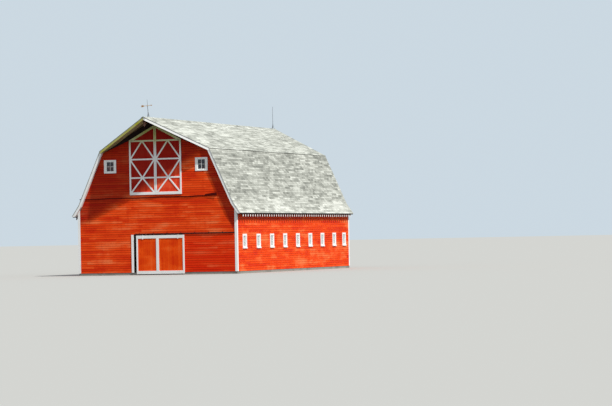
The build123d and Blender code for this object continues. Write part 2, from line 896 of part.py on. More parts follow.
# Hangers: a strap on the door's face, a pendant through the slot, and two wheels on the track's lips
frame_face = frame_back + door_frame_thickness + seat
wheel_level = track_bottom + track_wall + seat + wheel_diameter / 2
strap_top = door_top + seat + hanger_plate_thickness
with BuildPart() as door_hangers:
    for hanger_x in (door_left + hanger_inset, door_right - hanger_inset):
        with BuildSketch(front_plane.offset(frame_face)):
            with Locations((hanger_x, strap_top - hanger_plate_drop / 2)):
                Rectangle(hanger_plate_width, hanger_plate_drop)
        extrude(amount=hanger_plate_thickness)
        with BuildSketch(Plane.XY.offset(door_top + seat)):
            with Locations((hanger_x, front_y - (track_middle + frame_face) / 2)):
                Rectangle(hanger_plate_width, frame_face - track_middle + 2 * hanger_plate_thickness)
        extrude(amount=hanger_plate_thickness)
        with BuildSketch(Plane.XY.offset(door_top + seat)):
            with Locations((hanger_x, front_y - track_middle)):
                Circle(pendant_diameter / 2)
        extrude(amount=wheel_level - door_top)
        with BuildSketch(front_plane.offset(track_middle)):
            with Locations((hanger_x, wheel_level)):
                Circle(axle_diameter / 2)
        extrude(amount=wheel_centre + wheel_width / 2, both=True)
        for place in (-wheel_centre, wheel_centre):
            with BuildSketch(front_plane.offset(track_middle + place)):
                with Locations((hanger_x, wheel_level)):
                    Circle(wheel_diameter / 2)
            extrude(amount=wheel_width / 2, both=True)
save(door_hangers, "door_hangers")

# Hay track: a steel I-beam under the ridge, with its carrier parked below the hood
hay_front_y = tip_y + hay_track_setback
hay_back_y = half_length - wall_thickness - seat
with BuildPart() as hay_track:
    with BuildSketch(Plane.XZ.offset(-hay_back_y)):
        with Locations((0, hay_top - hay_track_depth / 2)):
            Rectangle(hay_track_width, hay_track_depth)
        for x in (-1, 1):
            with Locations((x * (hay_track_width + hay_track_web) / 4, hay_top - hay_track_depth / 2)):
                Rectangle(
                    (hay_track_width - hay_track_web) / 2,
                    hay_track_depth - 2 * hay_track_flange,
                    mode=Mode.SUBTRACT,
                )
    extrude(amount=hay_back_y - hay_front_y)
save(hay_track, "hay_track")

# Carrier: four wheels on the beam's lower flange, two side plates, a grooved sheave between them, and a
# ring on the pin below it
carrier_y = hay_front_y + carrier_setback
wheel_x = hay_track_web / 2 + carrier_wheel_web_gap + carrier_wheel_width / 2
plate_x = hay_track_width / 2 + carrier_plate_gap + carrier_plate_thickness / 2
axle_level = hay_top - hay_track_depth + hay_track_flange + seat + carrier_wheel_diameter / 2
sheave_level = axle_level - carrier_drop
ring_pin_level = sheave_level - sheave_diameter / 2
axle_places = [(carrier_y + end * carrier_wheel_spacing / 2, axle_level) for end in (-1, 1)]
with BuildPart() as hay_carrier:
    for side in sides.values():
        with BuildSketch(Plane.YZ.offset(side * plate_x)):
            with Locations(*axle_places):
                Circle(carrier_axle_diameter / 2 + carrier_plate_margin)
            with Locations((carrier_y, ring_pin_level)):
                Circle(sheave_pin_diameter / 2 + carrier_plate_margin)
            make_hull()
        extrude(amount=carrier_plate_thickness / 2, both=True)
        with BuildSketch(Plane.YZ.offset(side * (wheel_x + plate_x) / 2)):
            with Locations(*axle_places):
                Circle(carrier_axle_diameter / 2)
        extrude(amount=(plate_x + carrier_plate_thickness - wheel_x) / 2, both=True)
        with BuildSketch(Plane.YZ.offset(side * wheel_x)):
            with Locations(*axle_places):
                Circle(carrier_wheel_diameter / 2)
        extrude(amount=carrier_wheel_width / 2, both=True)
        with BuildSketch(Plane.YZ.offset(side * (sheave_width - sheave_rim_width) / 2)):
            with Locations((carrier_y, sheave_level)):
                Circle(sheave_diameter / 2)
        extrude(amount=sheave_rim_width / 2, both=True)
    with BuildSketch(Plane.YZ):
        with Locations((carrier_y, sheave_level)):
            Circle(sheave_core_diameter / 2)
    extrude(amount=sheave_width / 2, both=True)
    with BuildSketch(Plane.YZ):
        with Locations((carrier_y, sheave_level), (carrier_y, ring_pin_level)):
            Circle(sheave_pin_diameter / 2)
    extrude(amount=plate_x + carrier_plate_thickness, both=True)
    with BuildSketch(Plane.YZ):
        with Locations((carrier_y, ring_pin_level - ring_radius + ring_thickness)):
            Circle(ring_radius)
            Circle(ring_radius - ring_thickness, mode=Mode.SUBTRACT)
    extrude(amount=ring_thickness / 2, both=True)
save(hay_carrier, "hay_carrier")


# Lightning rods on three legs astride the ridge cap
def rod_plane(y, lean):
    angle = math.radians(lean)
    top = slope_z(UPPER, 0, -seat - ridge_cap_thickness)
    return Plane(
        origin=(0, y, top),
        x_dir=(math.cos(angle), 0, math.sin(angle)),
        z_dir=(-math.sin(angle), 0, math.cos(angle)),
    )


def lightning_rod(name, y, length, lean, shoulder_level=None):
    plane = rod_plane(y, lean)
    outline = [(0, seat), (rod_diameter / 2, seat)]
    if shoulder_level:
        outline += [
            (rod_diameter / 2, shoulder_level - shoulder_height),
            (shoulder_diameter / 2, shoulder_level - shoulder_height),
            (shoulder_diameter / 2, shoulder_level),
            (spindle_diameter / 2, shoulder_level),
            (spindle_diameter / 2, shoulder_level + 2 * vane_hub_length),
        ]
    outline += [(rod_tip_diameter / 2, length), (0, length)]
    with BuildPart() as rod:
        with BuildSketch(Plane(origin=plane.origin, x_dir=plane.x_dir, z_dir=-plane.y_dir)):
            Polygon(*outline)
        revolve(axis=Axis(plane.origin, plane.z_dir))
        with BuildSketch(plane.offset(rod_collar_height)):
            Circle(rod_collar_diameter / 2)
        extrude(amount=rod_collar_length)
        collar = plane.from_local_coords(Vector(0, 0, rod_collar_height + rod_collar_length / 2))
        for angle in rod_leg_angles:
            foot = Vector(
                rod_leg_spread * math.cos(math.radians(angle)),
                y + rod_leg_spread * math.sin(math.radians(angle)),
                plane.origin.Z - rod_leg_spread,
            )
            leg = foot - collar
            with BuildSketch(Plane(origin=collar, z_dir=leg)):
                Circle(rod_leg_diameter / 2)
            extrude(amount=leg.length)
        with BuildSketch(Plane.XZ.offset(-y)):
            Polygon(*roof_section(-2 * seat - ridge_cap_thickness))
        extrude(amount=2 * rod_leg_spread, both=True, mode=Mode.SUBTRACT)
    save(rod, name)


vane_foot = vane_height - vane_hub_length / 2
lightning_rod(
    "front_lightning_rod",
    front_y - front_rod_place,
    front_rod_length,
    front_rod_lean,
    vane_foot - seat,
)
lightning_rod("back_lightning_rod", half_length - back_rod_place, back_rod_length, 0)

# Weather vane that turns on the front rod, its tail to the left
vane_plane = rod_plane(front_y - front_rod_place, front_rod_lean)
hub_bore = spindle_diameter + 2 * vane_clearance
with BuildPart() as weather_vane:
    with BuildSketch(vane_plane.offset(vane_foot)):
        Circle(vane_hub_diameter / 2)
    extrude(amount=vane_hub_length)
    bar_plane = Plane(
        origin=vane_plane.from_local_coords(Vector(-vane_tail_share, 0, vane_height)),
        x_dir=vane_plane.y_dir,
        z_dir=vane_plane.x_dir,
    )
    with BuildSketch(bar_plane):
        Circle(vane_bar_diameter / 2)
    extrude(amount=vane_length - vane_head_length)
    plate_plane = Plane(
        origin=vane_plane.from_local_coords(Vector(0, 0, vane_height)),
        x_dir=vane_plane.x_dir,
        z_dir=-vane_plane.y_dir,
    )
    head_x = vane_length - vane_tail_share
    with BuildSketch(plate_plane):
        Polygon(
            (-vane_tail_share, vane_tail_height / 2),
            (-vane_tail_share + vane_tail_length / 2, vane_tail_height / 2),
            (-vane_tail_share + vane_tail_length, 0),
            (-vane_tail_share + vane_tail_length / 2, -vane_tail_height / 2),
            (-vane_tail_share, -vane_tail_height / 2),
            (-vane_tail_share + vane_tail_height / 2, 0),
        )
        Polygon(
            (head_x, 0),
            (head_x - vane_head_length, vane_head_height / 2),
            (head_x - vane_head_length, -vane_head_height / 2),
        )
    extrude(amount=vane_plate / 2, both=True)
    with BuildSketch(vane_plane.offset(vane_height)):
        Circle(hub_bore / 2)
    extrude(amount=vane_hub_length, both=True, mode=Mode.SUBTRACT)
save(weather_vane, "weather_vane")
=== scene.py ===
# %% [markdown]
# # A red barn with a gambrel roof
# The CAD frame holds every timber of the barn at its real size and place. This lesson dresses it:
# drop siding, shingles, planked doors, window bars, and the paint and weather on all of them.
# Lengths are metres, the front gable faces -Y, +X is to the right and the ground is z = 0. Each
# piece is made at its place and then rides on the body that carries it.

# %% Load the frame
import math
import bmesh
import bpy
import numpy as np
from mathutils import Matrix, Vector


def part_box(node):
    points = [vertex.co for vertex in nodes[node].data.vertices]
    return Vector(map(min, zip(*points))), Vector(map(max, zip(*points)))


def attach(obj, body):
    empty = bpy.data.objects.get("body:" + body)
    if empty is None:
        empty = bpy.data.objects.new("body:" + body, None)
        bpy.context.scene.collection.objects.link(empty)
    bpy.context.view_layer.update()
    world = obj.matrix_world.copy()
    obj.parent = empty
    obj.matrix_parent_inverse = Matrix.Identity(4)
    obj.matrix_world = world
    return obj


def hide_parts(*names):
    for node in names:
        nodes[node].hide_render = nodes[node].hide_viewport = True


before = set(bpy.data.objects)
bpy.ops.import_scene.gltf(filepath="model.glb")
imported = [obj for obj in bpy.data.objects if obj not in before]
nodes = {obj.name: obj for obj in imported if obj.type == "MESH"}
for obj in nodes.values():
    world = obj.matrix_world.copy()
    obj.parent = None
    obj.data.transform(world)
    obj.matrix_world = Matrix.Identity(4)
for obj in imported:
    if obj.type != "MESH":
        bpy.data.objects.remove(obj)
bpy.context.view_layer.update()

# %% [markdown]
# ## Sizes that several pieces share
# The walls' outer faces are read from the frame. The roof is a gambrel: from the ridge it drops
# gently to a knuckle, then steeply to a flare that kicks out over the eaves. Those four corners of
# its top surface are enough to work out where any board or shingle on it ends.

# %% Walls and roof section
front_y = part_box("front_wall_band")[0].y
back_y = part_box("back_wall")[1].y
wall_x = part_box("right_wall")[1].x
wall_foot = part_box("right_wall")[0].z
hood_tip_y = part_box("roof_upper_right")[0].y
rake_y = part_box("roof_lower_right")[0].y
roof_back_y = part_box("roof_lower_right")[1].y
ridge = Vector((0.0, 9.460))
knuckle = Vector((3.570, 7.555))
flare = Vector((5.050, 4.270))
eave = Vector((5.480, 3.650))
edge_board_foot = 0.155
edge_board_thickness = 0.040


def gradient(head, foot):
    """Rise for each metre outwards of the slope from head to foot."""
    return (foot.y - head.y) / (foot.x - head.x)


def slope_z(head, foot, x, drop=0.0):
    """Height at x of the slope from head to foot, lowered square to itself by drop."""
    rise = gradient(head, foot)
    return head.y + rise * (x - head.x) - drop * math.hypot(1, rise)


pitch = -gradient(ridge, knuckle)
print("walls", round(wall_x * 2, 3), "by", round(back_y - front_y, 3))
print("hood tip at", round(hood_tip_y, 3), "upper slope falls", round(pitch, 3), "a metre")

# %% [markdown]
# ## Camera
# The photo was taken with a long lens from about 165 m away and 2 m above the ground, to the right
# of the front gable. A camera could be aimed at a target, but a solved yaw, pitch and roll put each
# corner of the barn where it is in the photo, so the three turns are combined in that order.

# %% Camera
camera_place = (62.21, -154.23, 1.995)
camera_yaw, camera_pitch, camera_roll = (math.radians(angle) for angle in (20.06, 0.79, -1.12))
focal_length_in_pixels = 2600
photo_width_in_pixels = 612
turn = Matrix.Rotation(camera_yaw, 4, "Z") @ Matrix.Rotation(math.pi / 2 + camera_pitch, 4, "X")
turn = turn @ Matrix.Rotation(camera_roll, 4, "Z")
bpy.ops.object.camera_add(location=camera_place, rotation=turn.to_euler())
camera = bpy.context.active_object
camera.data.lens = camera.data.sensor_width * focal_length_in_pixels / photo_width_in_pixels
camera.data.clip_end = 3000
bpy.context.scene.camera = camera
print("lens", round(camera.data.lens, 1), "mm")

# %% [markdown]
# ## Nodes in one line
# Materials are trees of small nodes. A few helpers keep them readable. One adds a node and feeds
# its sockets with numbers or with other sockets, and the rest do the same for sums, products,
# changes of range and mixes of colours.


# %% Node helpers
def feed(tree, socket, value):
    """Links a socket, or sets a plain value."""
    if isinstance(value, bpy.types.NodeSocket):
        tree.links.new(value, socket)
    else:
        socket.default_value = value


def add(tree, kind, values=None, **settings):
    """Adds a shader node, sets its options and feeds its inputs."""
    made = tree.nodes.new("ShaderNode" + kind)
    for key, value in settings.items():
        setattr(made, key, value)
    for key, value in (values or {}).items():
        feed(tree, made.inputs[key], value)
    return made


def maths(tree, operation, *values):
    """The output of a Math node fed with the values."""
    made = add(tree, "Math", operation=operation)
    for socket, value in zip(made.inputs, values):
        feed(tree, socket, value)
    return made.outputs[0]


def spread(tree, value, low, high, to_low=0.0, to_high=1.0):
    """Maps a value from one range to another, smoothly and clamped."""
    ends = {"Value": value, "From Min": low, "From Max": high, "To Min": to_low, "To Max": to_high}
    return add(tree, "MapRange", ends, interpolation_type="SMOOTHSTEP").outputs["Result"]


def blend_colour(tree, factor, first, second):
    """Mixes two colours by a factor."""
    made = add(tree, "Mix", data_type="RGBA")
    feed(tree, made.inputs[0], factor)
    feed(tree, made.inputs[6], first)
    feed(tree, made.inputs[7], second)
    return made.outputs[2]


def tint(tree, colour, mask, share, other):
    """Turns a share of a colour into another where the mask is one."""
    return blend_colour(tree, maths(tree, "MULTIPLY", mask, share), colour, other)


def weigh(tree, start, *parts):
    """A start value plus a share of each (value, share) part."""
    for value, share in parts:
        start = maths(tree, "MULTIPLY_ADD", value, share, start)
    return start


def srgb(red, green, blue):
    """A colour read off a screen, 0 to 255, as the linear colour that shaders use."""
    steps = (value / 255 for value in (red, green, blue))
    linear = (s / 12.92 if s <= 0.04045 else ((s + 0.055) / 1.055) ** 2.4 for s in steps)
    return (*linear, 1.0)


print("barn red is", [round(value, 3) for value in srgb(210, 70, 35)])

# %% [markdown]
# ## Light, sky and floor
# The sun of the photo stands high on the right, so the hood throws a slanting shadow over the
# gable. One soft sun lamp from that side does the same, and a plain pale sky fills the shadows. The
# sky and the floor that the camera sees have pale colours of their own, which change no light on
# the barn.

# %% Sun and sky
sun_direction = Vector((2.6, -1.0, 3.5))
sun_strength = 4.2
sun_softness = math.radians(0.8)
bpy.ops.object.light_add(type="SUN", location=sun_direction * 10)
sun = bpy.context.active_object
sun.rotation_euler = sun_direction.to_track_quat("Z", "Y").to_euler()
sun.data.energy = sun_strength
sun.data.angle = sun_softness
sun.data.color = (1.0, 0.97, 0.92)

world = bpy.data.worlds.new("pale_sky")
bpy.context.scene.world = world
world.use_nodes = True
sky = world.node_tree
sky.nodes.clear()


def seen_ray(tree):
    """One for rays that show the background itself: from the camera, in a reflection or through
    glass."""
    path = add(tree, "LightPath")
    seen = maths(tree, "MAXIMUM", path.outputs["Is Camera Ray"], path.outputs["Is Glossy Ray"])
    return maths(tree, "MAXIMUM", seen, path.outputs["Is Transmission Ray"])


light_of_sky = add(sky, "Background", {"Color": (0.86, 0.93, 1.0, 1.0), "Strength": 0.70})
seen_sky = add(sky, "Background", {"Color": (0.60, 0.69, 0.76, 1.0), "Strength": 1.0})
both_skies = {0: seen_ray(sky), 1: light_of_sky.outputs[0], 2: seen_sky.outputs[0]}
add(sky, "OutputWorld", {"Surface": add(sky, "MixShader", both_skies).outputs[0]})
bpy.context.scene.view_settings.view_transform = "Standard"
print("sun", round(math.degrees(math.asin(sun_direction.normalized().z))), "degrees high")

# %% Floor
floor_size = 5000
bpy.ops.mesh.primitive_plane_add(size=floor_size, location=(0, 0, 0))
floor = bpy.context.active_object
floor.name = "floor"
floor_paint = bpy.data.materials.new("plain_floor")
floor_paint.use_nodes = True
floor_tree = floor_paint.node_tree
floor_shader = floor_tree.nodes["Principled BSDF"]
unseen_grey, seen_grey = (0.16, 0.16, 0.155, 1.0), (0.40, 0.40, 0.385, 1.0)
floor_colour = blend_colour(floor_tree, seen_ray(floor_tree), unseen_grey, seen_grey)
feed(floor_tree, floor_shader.inputs["Base Color"], floor_colour)
floor_shader.inputs["Roughness"].default_value = 1.0
floor_shader.inputs["Specular IOR Level"].default_value = 0.0
floor.data.materials.append(floor_paint)
print("floor of", floor_size, "m")

# %% [markdown]
# ## Effects that several finishes share
# Boards, timber and paint repeat the same three effects, so each is a node group that is built
# once. Board layout tells each board of a wall from its neighbours by its place, grain gives long
# wood fibres, and weather gives soft patches where paint has faded, stained or worn.


# %% Group helper and board layout
def shader_group(name, inputs, outputs):
    """An empty node group with float or vector inputs and float outputs."""
    group = bpy.data.node_groups.new(name, "ShaderNodeTree")
    for label, value in inputs:
        kind = "NodeSocketVector" if value is None else "NodeSocketFloat"
        socket = group.interface.new_socket(label, in_out="INPUT", socket_type=kind)
        if value is not None:
            socket.default_value = value
    for label in outputs:
        group.interface.new_socket(label, in_out="OUTPUT", socket_type="NodeSocketFloat")
    source, sink = group.nodes.new("NodeGroupInput"), group.nodes.new("NodeGroupOutput")
    return group, source.outputs, sink.inputs


board_layout, given, result = shader_group(
    "board_layout",
    [("Along", 0.0), ("Across", 0.0), ("Width", 0.137), ("Length", 3.6)],
    ["Tone", "Joint", "Height"],
)
joint_half_width = 0.003
row_place = maths(board_layout, "DIVIDE", given["Across"], given["Width"])
row = maths(board_layout, "FLOOR", row_place)
row_shift = add(board_layout, "TexWhiteNoise", {"W": row}, noise_dimensions="1D").outputs["Value"]
board_place = maths(board_layout, "DIVIDE", given["Along"], given["Length"])
board_place = maths(board_layout, "ADD", board_place, row_shift)
board_number = maths(board_layout, "FLOOR", board_place)
board_name = add(board_layout, "CombineXYZ", {"X": row, "Y": board_number}).outputs[0]
board_tone = add(board_layout, "TexWhiteNoise", {"Vector": board_name}, noise_dimensions="2D")
from_middle = maths(board_layout, "SUBTRACT", maths(board_layout, "FRACT", board_place), 0.5)
from_end = maths(board_layout, "SUBTRACT", 0.5, maths(board_layout, "ABSOLUTE", from_middle))
from_end = maths(board_layout, "MULTIPLY", from_end, given["Length"])
joint = spread(board_layout, from_end, 0.0, joint_half_width, 1.0, 0.0)
feed(board_layout, result["Tone"], board_tone.outputs["Value"])
feed(board_layout, result["Joint"], joint)
feed(board_layout, result["Height"], maths(board_layout, "FRACT", row_place))
print("board_layout has", len(board_layout.nodes), "nodes")

# %% Grain and weather groups
grain, given, result = shader_group(
    "grain", [("Along", 0.0), ("Across", 0.0), ("Deep", 0.0), ("Fineness", 90.0)], ["Fibre"]
)
stretch = 0.04
fine_along = maths(grain, "MULTIPLY", given["Along"], given["Fineness"])
fibre_axes = {
    "X": maths(grain, "MULTIPLY", fine_along, stretch),
    "Y": maths(grain, "MULTIPLY", given["Across"], given["Fineness"]),
    "Z": maths(grain, "MULTIPLY", given["Deep"], given["Fineness"]),
}
fibre_space = add(grain, "CombineXYZ", fibre_axes).outputs[0]
fibre_noise = add(grain, "TexNoise", {"Vector": fibre_space, "Scale": 1.0, "Detail": 4.0})
feed(grain, result["Fibre"], fibre_noise.outputs[0])

weather, given, result = shader_group(
    "weather", [("Vector", None), ("Size", 1.0), ("Start", 0.4)], ["Patch"]
)
patch_fade = 0.25
patch_scale = maths(weather, "DIVIDE", 1.0, given["Size"])
patch_noise = add(
    weather, "TexNoise", {"Vector": given["Vector"], "Scale": patch_scale, "Detail": 5.0}
)
patch_full = maths(weather, "ADD", given["Start"], patch_fade)
feed(weather, result["Patch"], spread(weather, patch_noise.outputs[0], given["Start"], patch_full))
print("grain and weather are made")


# %% [markdown]
# ## A finish, line by line
# Every finish starts from the same Principled shader and the object coordinates, which are real
# metres here because each piece keeps its place in its mesh. These helpers start a finish, place
# the groups in it, colour a value with a ramp, let a socket change with a mask, and turn a height
# into a bump.


# %% Finish helpers
def finish(name, roughness, specular=0.3):
    """A new material with its tree and shader, and the object coordinates as a vector and as x, y
    and z."""
    material = bpy.data.materials.new(name)
    material.use_nodes = True
    tree = material.node_tree
    shader = tree.nodes["Principled BSDF"]
    shader.inputs["Roughness"].default_value = roughness
    shader.inputs["Specular IOR Level"].default_value = specular
    place = add(tree, "TexCoord").outputs["Object"]
    axes = add(tree, "SeparateXYZ", {0: place}).outputs
    return material, tree, shader, place, axes


def use_group(tree, group, values):
    """Places a shader group in a material."""
    made = tree.nodes.new("ShaderNodeGroup")
    made.node_tree = group
    for key, value in values.items():
        feed(tree, made.inputs[key], value)
    return made.outputs


def fibres(tree, along, across, deep, fineness=90.0):
    """Long wood fibres from the grain group."""
    values = {"Along": along, "Across": across, "Deep": deep, "Fineness": fineness}
    return use_group(tree, grain, values)["Fibre"]


def patches(tree, place, size, start, scale=None):
    """Soft patches from the weather group. A lower start lets them cover more, and a scale
    stretches them."""
    if scale:
        place = add(tree, "Mapping", {"Vector": place, "Scale": scale}).outputs[0]
    return use_group(tree, weather, {"Vector": place, "Size": size, "Start": start})["Patch"]


def ramp(tree, value, stops):
    """A colour ramp through (position, colour) stops."""
    made = add(tree, "ValToRGB", {"Fac": value})
    while len(made.color_ramp.elements) < len(stops):
        made.color_ramp.elements.new(1.0)
    for element, (position, colour) in zip(made.color_ramp.elements, stops):
        element.position = position
        element.color = colour
    return made.outputs["Color"]


def vary(tree, shader, socket, mask, at_zero, at_one):
    """Lets a shader's socket change with a mask."""
    feed(tree, shader.inputs[socket], spread(tree, mask, 0.0, 1.0, at_zero, at_one))


def relief(tree, shader, height, depth, strength=0.6):
    """Feeds the shader's normal with a bump of that depth in metres."""
    bump = add(tree, "Bump", {"Height": height, "Distance": depth, "Strength": strength})
    feed(tree, shader.inputs["Normal"], bump.outputs["Normal"])


print("finishes start as a Principled shader on object coordinates")

# %% [markdown]
# ## Painted boards
# Old barn paint is never one red. Each board took it a little differently, the sun has bleached
# patches to orange, rain has left dark streaks, and the wood grain stands out where the paint is
# thin. Behind the open door, sun and rain have kept off the siding, and its red is still deep.
# Under the hood and beside the right rake the red turns deep and dark as a painted shadow of the
# hood and the rake, and the cove under each board's foot is painted darker as painted shade. One
# function builds the siding, both door reds and the seam's dark red, a painted shadow, from three
# shades of red, and only the direction of the boards changes.

# %% Painted shadow of the hood and the rake, and the deep red behind the open door
shadow_foot, shadow_rise, shadow_fade = 5.45, 0.53, 0.60
rake_slant = (flare.x - knuckle.x) / (knuckle.y - flare.y)
rake_edge = knuckle.x + rake_slant * knuckle.y
rake_shade_band, rake_shade_blur = 0.90, 0.16
open_door_left, open_door_head = 1.62, 2.50


def on_front(tree, y, mask):
    """Keeps a mask to what stands out from the front wall."""
    return maths(tree, "MULTIPLY", mask, maths(tree, "LESS_THAN", y, front_y))


def painted_roof_shadow(tree, x, y, z, share):
    """A mask of up to share for painted shadow: of the hood, above a slanting line, and of the
    right rake, beside it.
    """
    height = maths(tree, "MULTIPLY_ADD", x, -shadow_rise, z)
    shade_by_hood = spread(tree, height, shadow_foot, shadow_foot + shadow_fade, 0.0, share)
    outward = maths(tree, "MULTIPLY_ADD", z, rake_slant, x)
    start = rake_edge - rake_shade_band
    shade_by_rake = spread(tree, outward, start, start + rake_shade_blur, 0.0, share)
    return on_front(tree, y, maths(tree, "MAXIMUM", shade_by_hood, shade_by_rake))


def kept_by_door(tree, x, y, z):
    """A mask of the front wall that the open door covers."""
    below = maths(tree, "LESS_THAN", z, open_door_head)
    beside = maths(tree, "GREATER_THAN", x, open_door_left)
    return on_front(tree, y, maths(tree, "MULTIPLY", below, beside))


print("the deep red starts", shadow_foot, "m up and climbs", shadow_rise, "a metre to the right")


# %% Paint on boards
def painted_boards(name, shades, upright, width, length, foot=0.0, cove_share=0.0, shadow_share=0.0):
    """Weathered paint on boards that lie level on any wall, or stand upright on a door."""
    material, tree, shader, place, (x, y, z) = finish(name, 0.8, 0.08)
    level = maths(tree, "ADD", x, y)
    along, across = (z, x) if upright else (level, maths(tree, "SUBTRACT", z, foot))
    layout = {"Along": along, "Across": across, "Width": width, "Length": length}
    boards = use_group(tree, board_layout, layout)
    fibre = fibres(tree, along, across, level)
    raised = maths(tree, "SUBTRACT", fibre, 0.5)
    faded = patches(tree, place, size=0.6, start=0.42, scale=(0.4, 0.4, 1.2))
    streak = patches(tree, place, size=0.22, start=0.5, scale=(1.0, 1.0, 0.18))
    shade = weigh(tree, 0.08, (boards["Tone"], 0.36), (faded, 0.34), (raised, 0.7))
    colour = ramp(tree, shade, [(0.0, shades[0]), (0.45, shades[1]), (1.0, shades[2])])
    colour = tint(tree, colour, streak, 0.30, shades[0])
    # The red turns deep and dark under the hood and beside the right rake: a painted shadow.
    if shadow_share:
        roof_shadow_mask = painted_roof_shadow(tree, x, y, z, shadow_share)
        colour = blend_colour(tree, roof_shadow_mask, colour, srgb(140, 6, 10))
    if cove_share:
        colour = tint(tree, colour, kept_by_door(tree, x, y, z), 0.55, srgb(226, 30, 0))
        # The cove under each board's foot is painted darker: painted shade from the board above.
        cove_foot = 1.0 - cove_share
        painted_cove_shade = spread(tree, boards["Height"], cove_foot - 0.3 * cove_share, cove_foot, 0.0, 0.42)
        colour = blend_colour(tree, painted_cove_shade, colour, srgb(104, 10, 2))
    colour = tint(tree, colour, boards["Joint"], 0.7, srgb(60, 14, 8))
    feed(tree, shader.inputs["Base Color"], colour)
    vary(tree, shader, "Roughness", shade, 0.6, 0.85)
    relief(tree, shader, maths(tree, "SUBTRACT", fibre, boards["Joint"]), 0.003)
    return material


siding_width, siding_length = 0.137, 3.7
cove_height = 0.034
plank_width, plank_length = 0.140, 9.0
print("siding", siding_width, "m high, planks about", plank_width, "m wide")

# %% Reds
siding_red = painted_boards(
    "siding_red",
    (srgb(212, 36, 2), srgb(248, 80, 20), srgb(255, 146, 90)),
    False, siding_width, siding_length,
    foot=wall_foot, cove_share=cove_height / siding_width, shadow_share=0.66,
)
door_red = painted_boards(
    "door_red",
    (srgb(212, 44, 0), srgb(240, 78, 8), srgb(250, 110, 46)),
    True, plank_width, plank_length,
)
loft_red = painted_boards(
    "loft_red",
    (srgb(214, 40, 16), srgb(244, 84, 48), srgb(254, 132, 96)),
    True, plank_width, plank_length, shadow_share=0.84,
)
# The belt lap and the sprung board are painted this dark red as painted shadow under the lap and
# behind the board.
seam_shadow_red = painted_boards(
    "seam_shadow_red",
    (srgb(70, 8, 4), srgb(92, 14, 8), srgb(120, 26, 14)),
    False, siding_width, siding_length,
)
print("four reds")

# %% [markdown]
# ## White trim
# The trim is white oil paint on planed boards. It keeps its brush grain, greys a little where water
# runs, and has picked up faint rust-red stains from the siding above it. Under the hood, and on the
# hood's left edge, which the sun does not reach, it is tinted yellow-green: painted light reflected
# up from a sunlit green field, and on the soffit also darkened as painted shade. Tone comes from an
# attribute on planted boards and is nothing on the frame's own trim.

# %% White paint
fresh_white, dull_white = srgb(242, 242, 240), srgb(220, 219, 210)


def white_boards(name, bounce_tint=None, low=0.0, high=1.0, from_slope=False):
    """White paint on planed boards. A painted tint of light reflected from a sunlit field, in a
    colour, spreads from a low to a high height, or on the left only from a small to a large depth
    below the upper slope."""
    material, tree, shader, place, (x, y, z) = finish(name, 0.5)
    fibre = fibres(tree, z, maths(tree, "ADD", x, y), y, 60.0)
    grime = patches(tree, place, size=0.5, start=0.5)
    rust_stain = patches(tree, place, size=0.35, start=0.66)
    worn = spread(tree, fibre, 0.66, 0.76)
    tone = add(tree, "Attribute", attribute_name="tone").outputs["Fac"]
    colour = tint(tree, fresh_white, grime, 0.4, dull_white)
    colour = tint(tree, colour, tone, 0.2, dull_white)
    colour = tint(tree, colour, rust_stain, 0.4, srgb(226, 180, 164))
    colour = tint(tree, colour, worn, 0.4, srgb(176, 166, 150))
    if bounce_tint:
        bounce_amount = spread(tree, z, low, high)
        if from_slope:
            slope = maths(tree, "MULTIPLY_ADD", maths(tree, "ABSOLUTE", x), -pitch, ridge.y)
            bounce_amount = spread(tree, maths(tree, "SUBTRACT", slope, z), low, high)
            bounce_amount = maths(tree, "MULTIPLY", bounce_amount, maths(tree, "LESS_THAN", x, 0.0))
        colour = tint(tree, colour, bounce_amount, weigh(tree, 0.8, (grime, 0.2)), bounce_tint)
    feed(tree, shader.inputs["Base Color"], colour)
    vary(tree, shader, "Roughness", grime, 0.42, 0.68)
    relief(tree, shader, fibre, 0.0015)
    return material


white_paint = white_boards("white_paint")
# The yellow-green tints are painted light reflected from a sunlit field; the soffit's darker one is
# painted shade too.
loft_white = white_boards("loft_white", srgb(188, 190, 84), low=7.3, high=8.5)
soffit_white = white_boards("soffit_white", srgb(134, 128, 20), low=6.9, high=7.5)
barge_white = white_boards(
    "barge_white", srgb(206, 200, 6), low=0.02, high=0.04, from_slope=True
)
print("four whites")

# %% [markdown]
# ## Shingles
# The roof's asphalt shingles carry grey-green stone granules. Each tab came from the works in its
# own mix of light and dark, which makes the mottled look from afar. A tone attribute, one random
# number a tab, picks the mix, and two noises add the granules and the patches that the sun has
# bleached. The flare and the upper slope are painted lighter than the steep slope, as painted light
# for the sun that falls more fully on them.

# %% Shingle granules
flare_fade_top, flare_fade_foot, knuckle_fade = flare.y + 0.5, flare.y - 0.1, 0.1
shingle_stone, tree, shader, place, (x, y, z) = finish("shingle_stone", 0.92, 0.15)
tone = add(tree, "Attribute", attribute_name="tone").outputs["Fac"]
granule = add(tree, "TexNoise", {"Vector": place, "Scale": 260.0, "Detail": 2.0}).outputs[0]
bleached = patches(tree, place, size=2.6, start=0.4)
# The flare and the upper slope are made lighter: painted light.
flare_painted_light = spread(tree, z, flare_fade_top, flare_fade_foot)
upper_painted_light = spread(tree, z, knuckle.y - knuckle_fade, knuckle.y + knuckle_fade)
speckle = maths(tree, "SUBTRACT", granule, 0.5)
mix = weigh(tree, 0.0, (tone, 0.80), (bleached, 0.12), (flare_painted_light, 0.18), (upper_painted_light, 0.12))
mix = weigh(tree, mix, (speckle, 0.4))
dark_mix, mid_mix, light_mix = srgb(108, 110, 104), srgb(162, 164, 156), srgb(208, 210, 202)
colour = ramp(tree, mix, [(0.0, dark_mix), (0.5, mid_mix), (1.0, light_mix)])
feed(tree, shader.inputs["Base Color"], colour)
relief(tree, shader, granule, 0.002)
print("shingle stone is made")

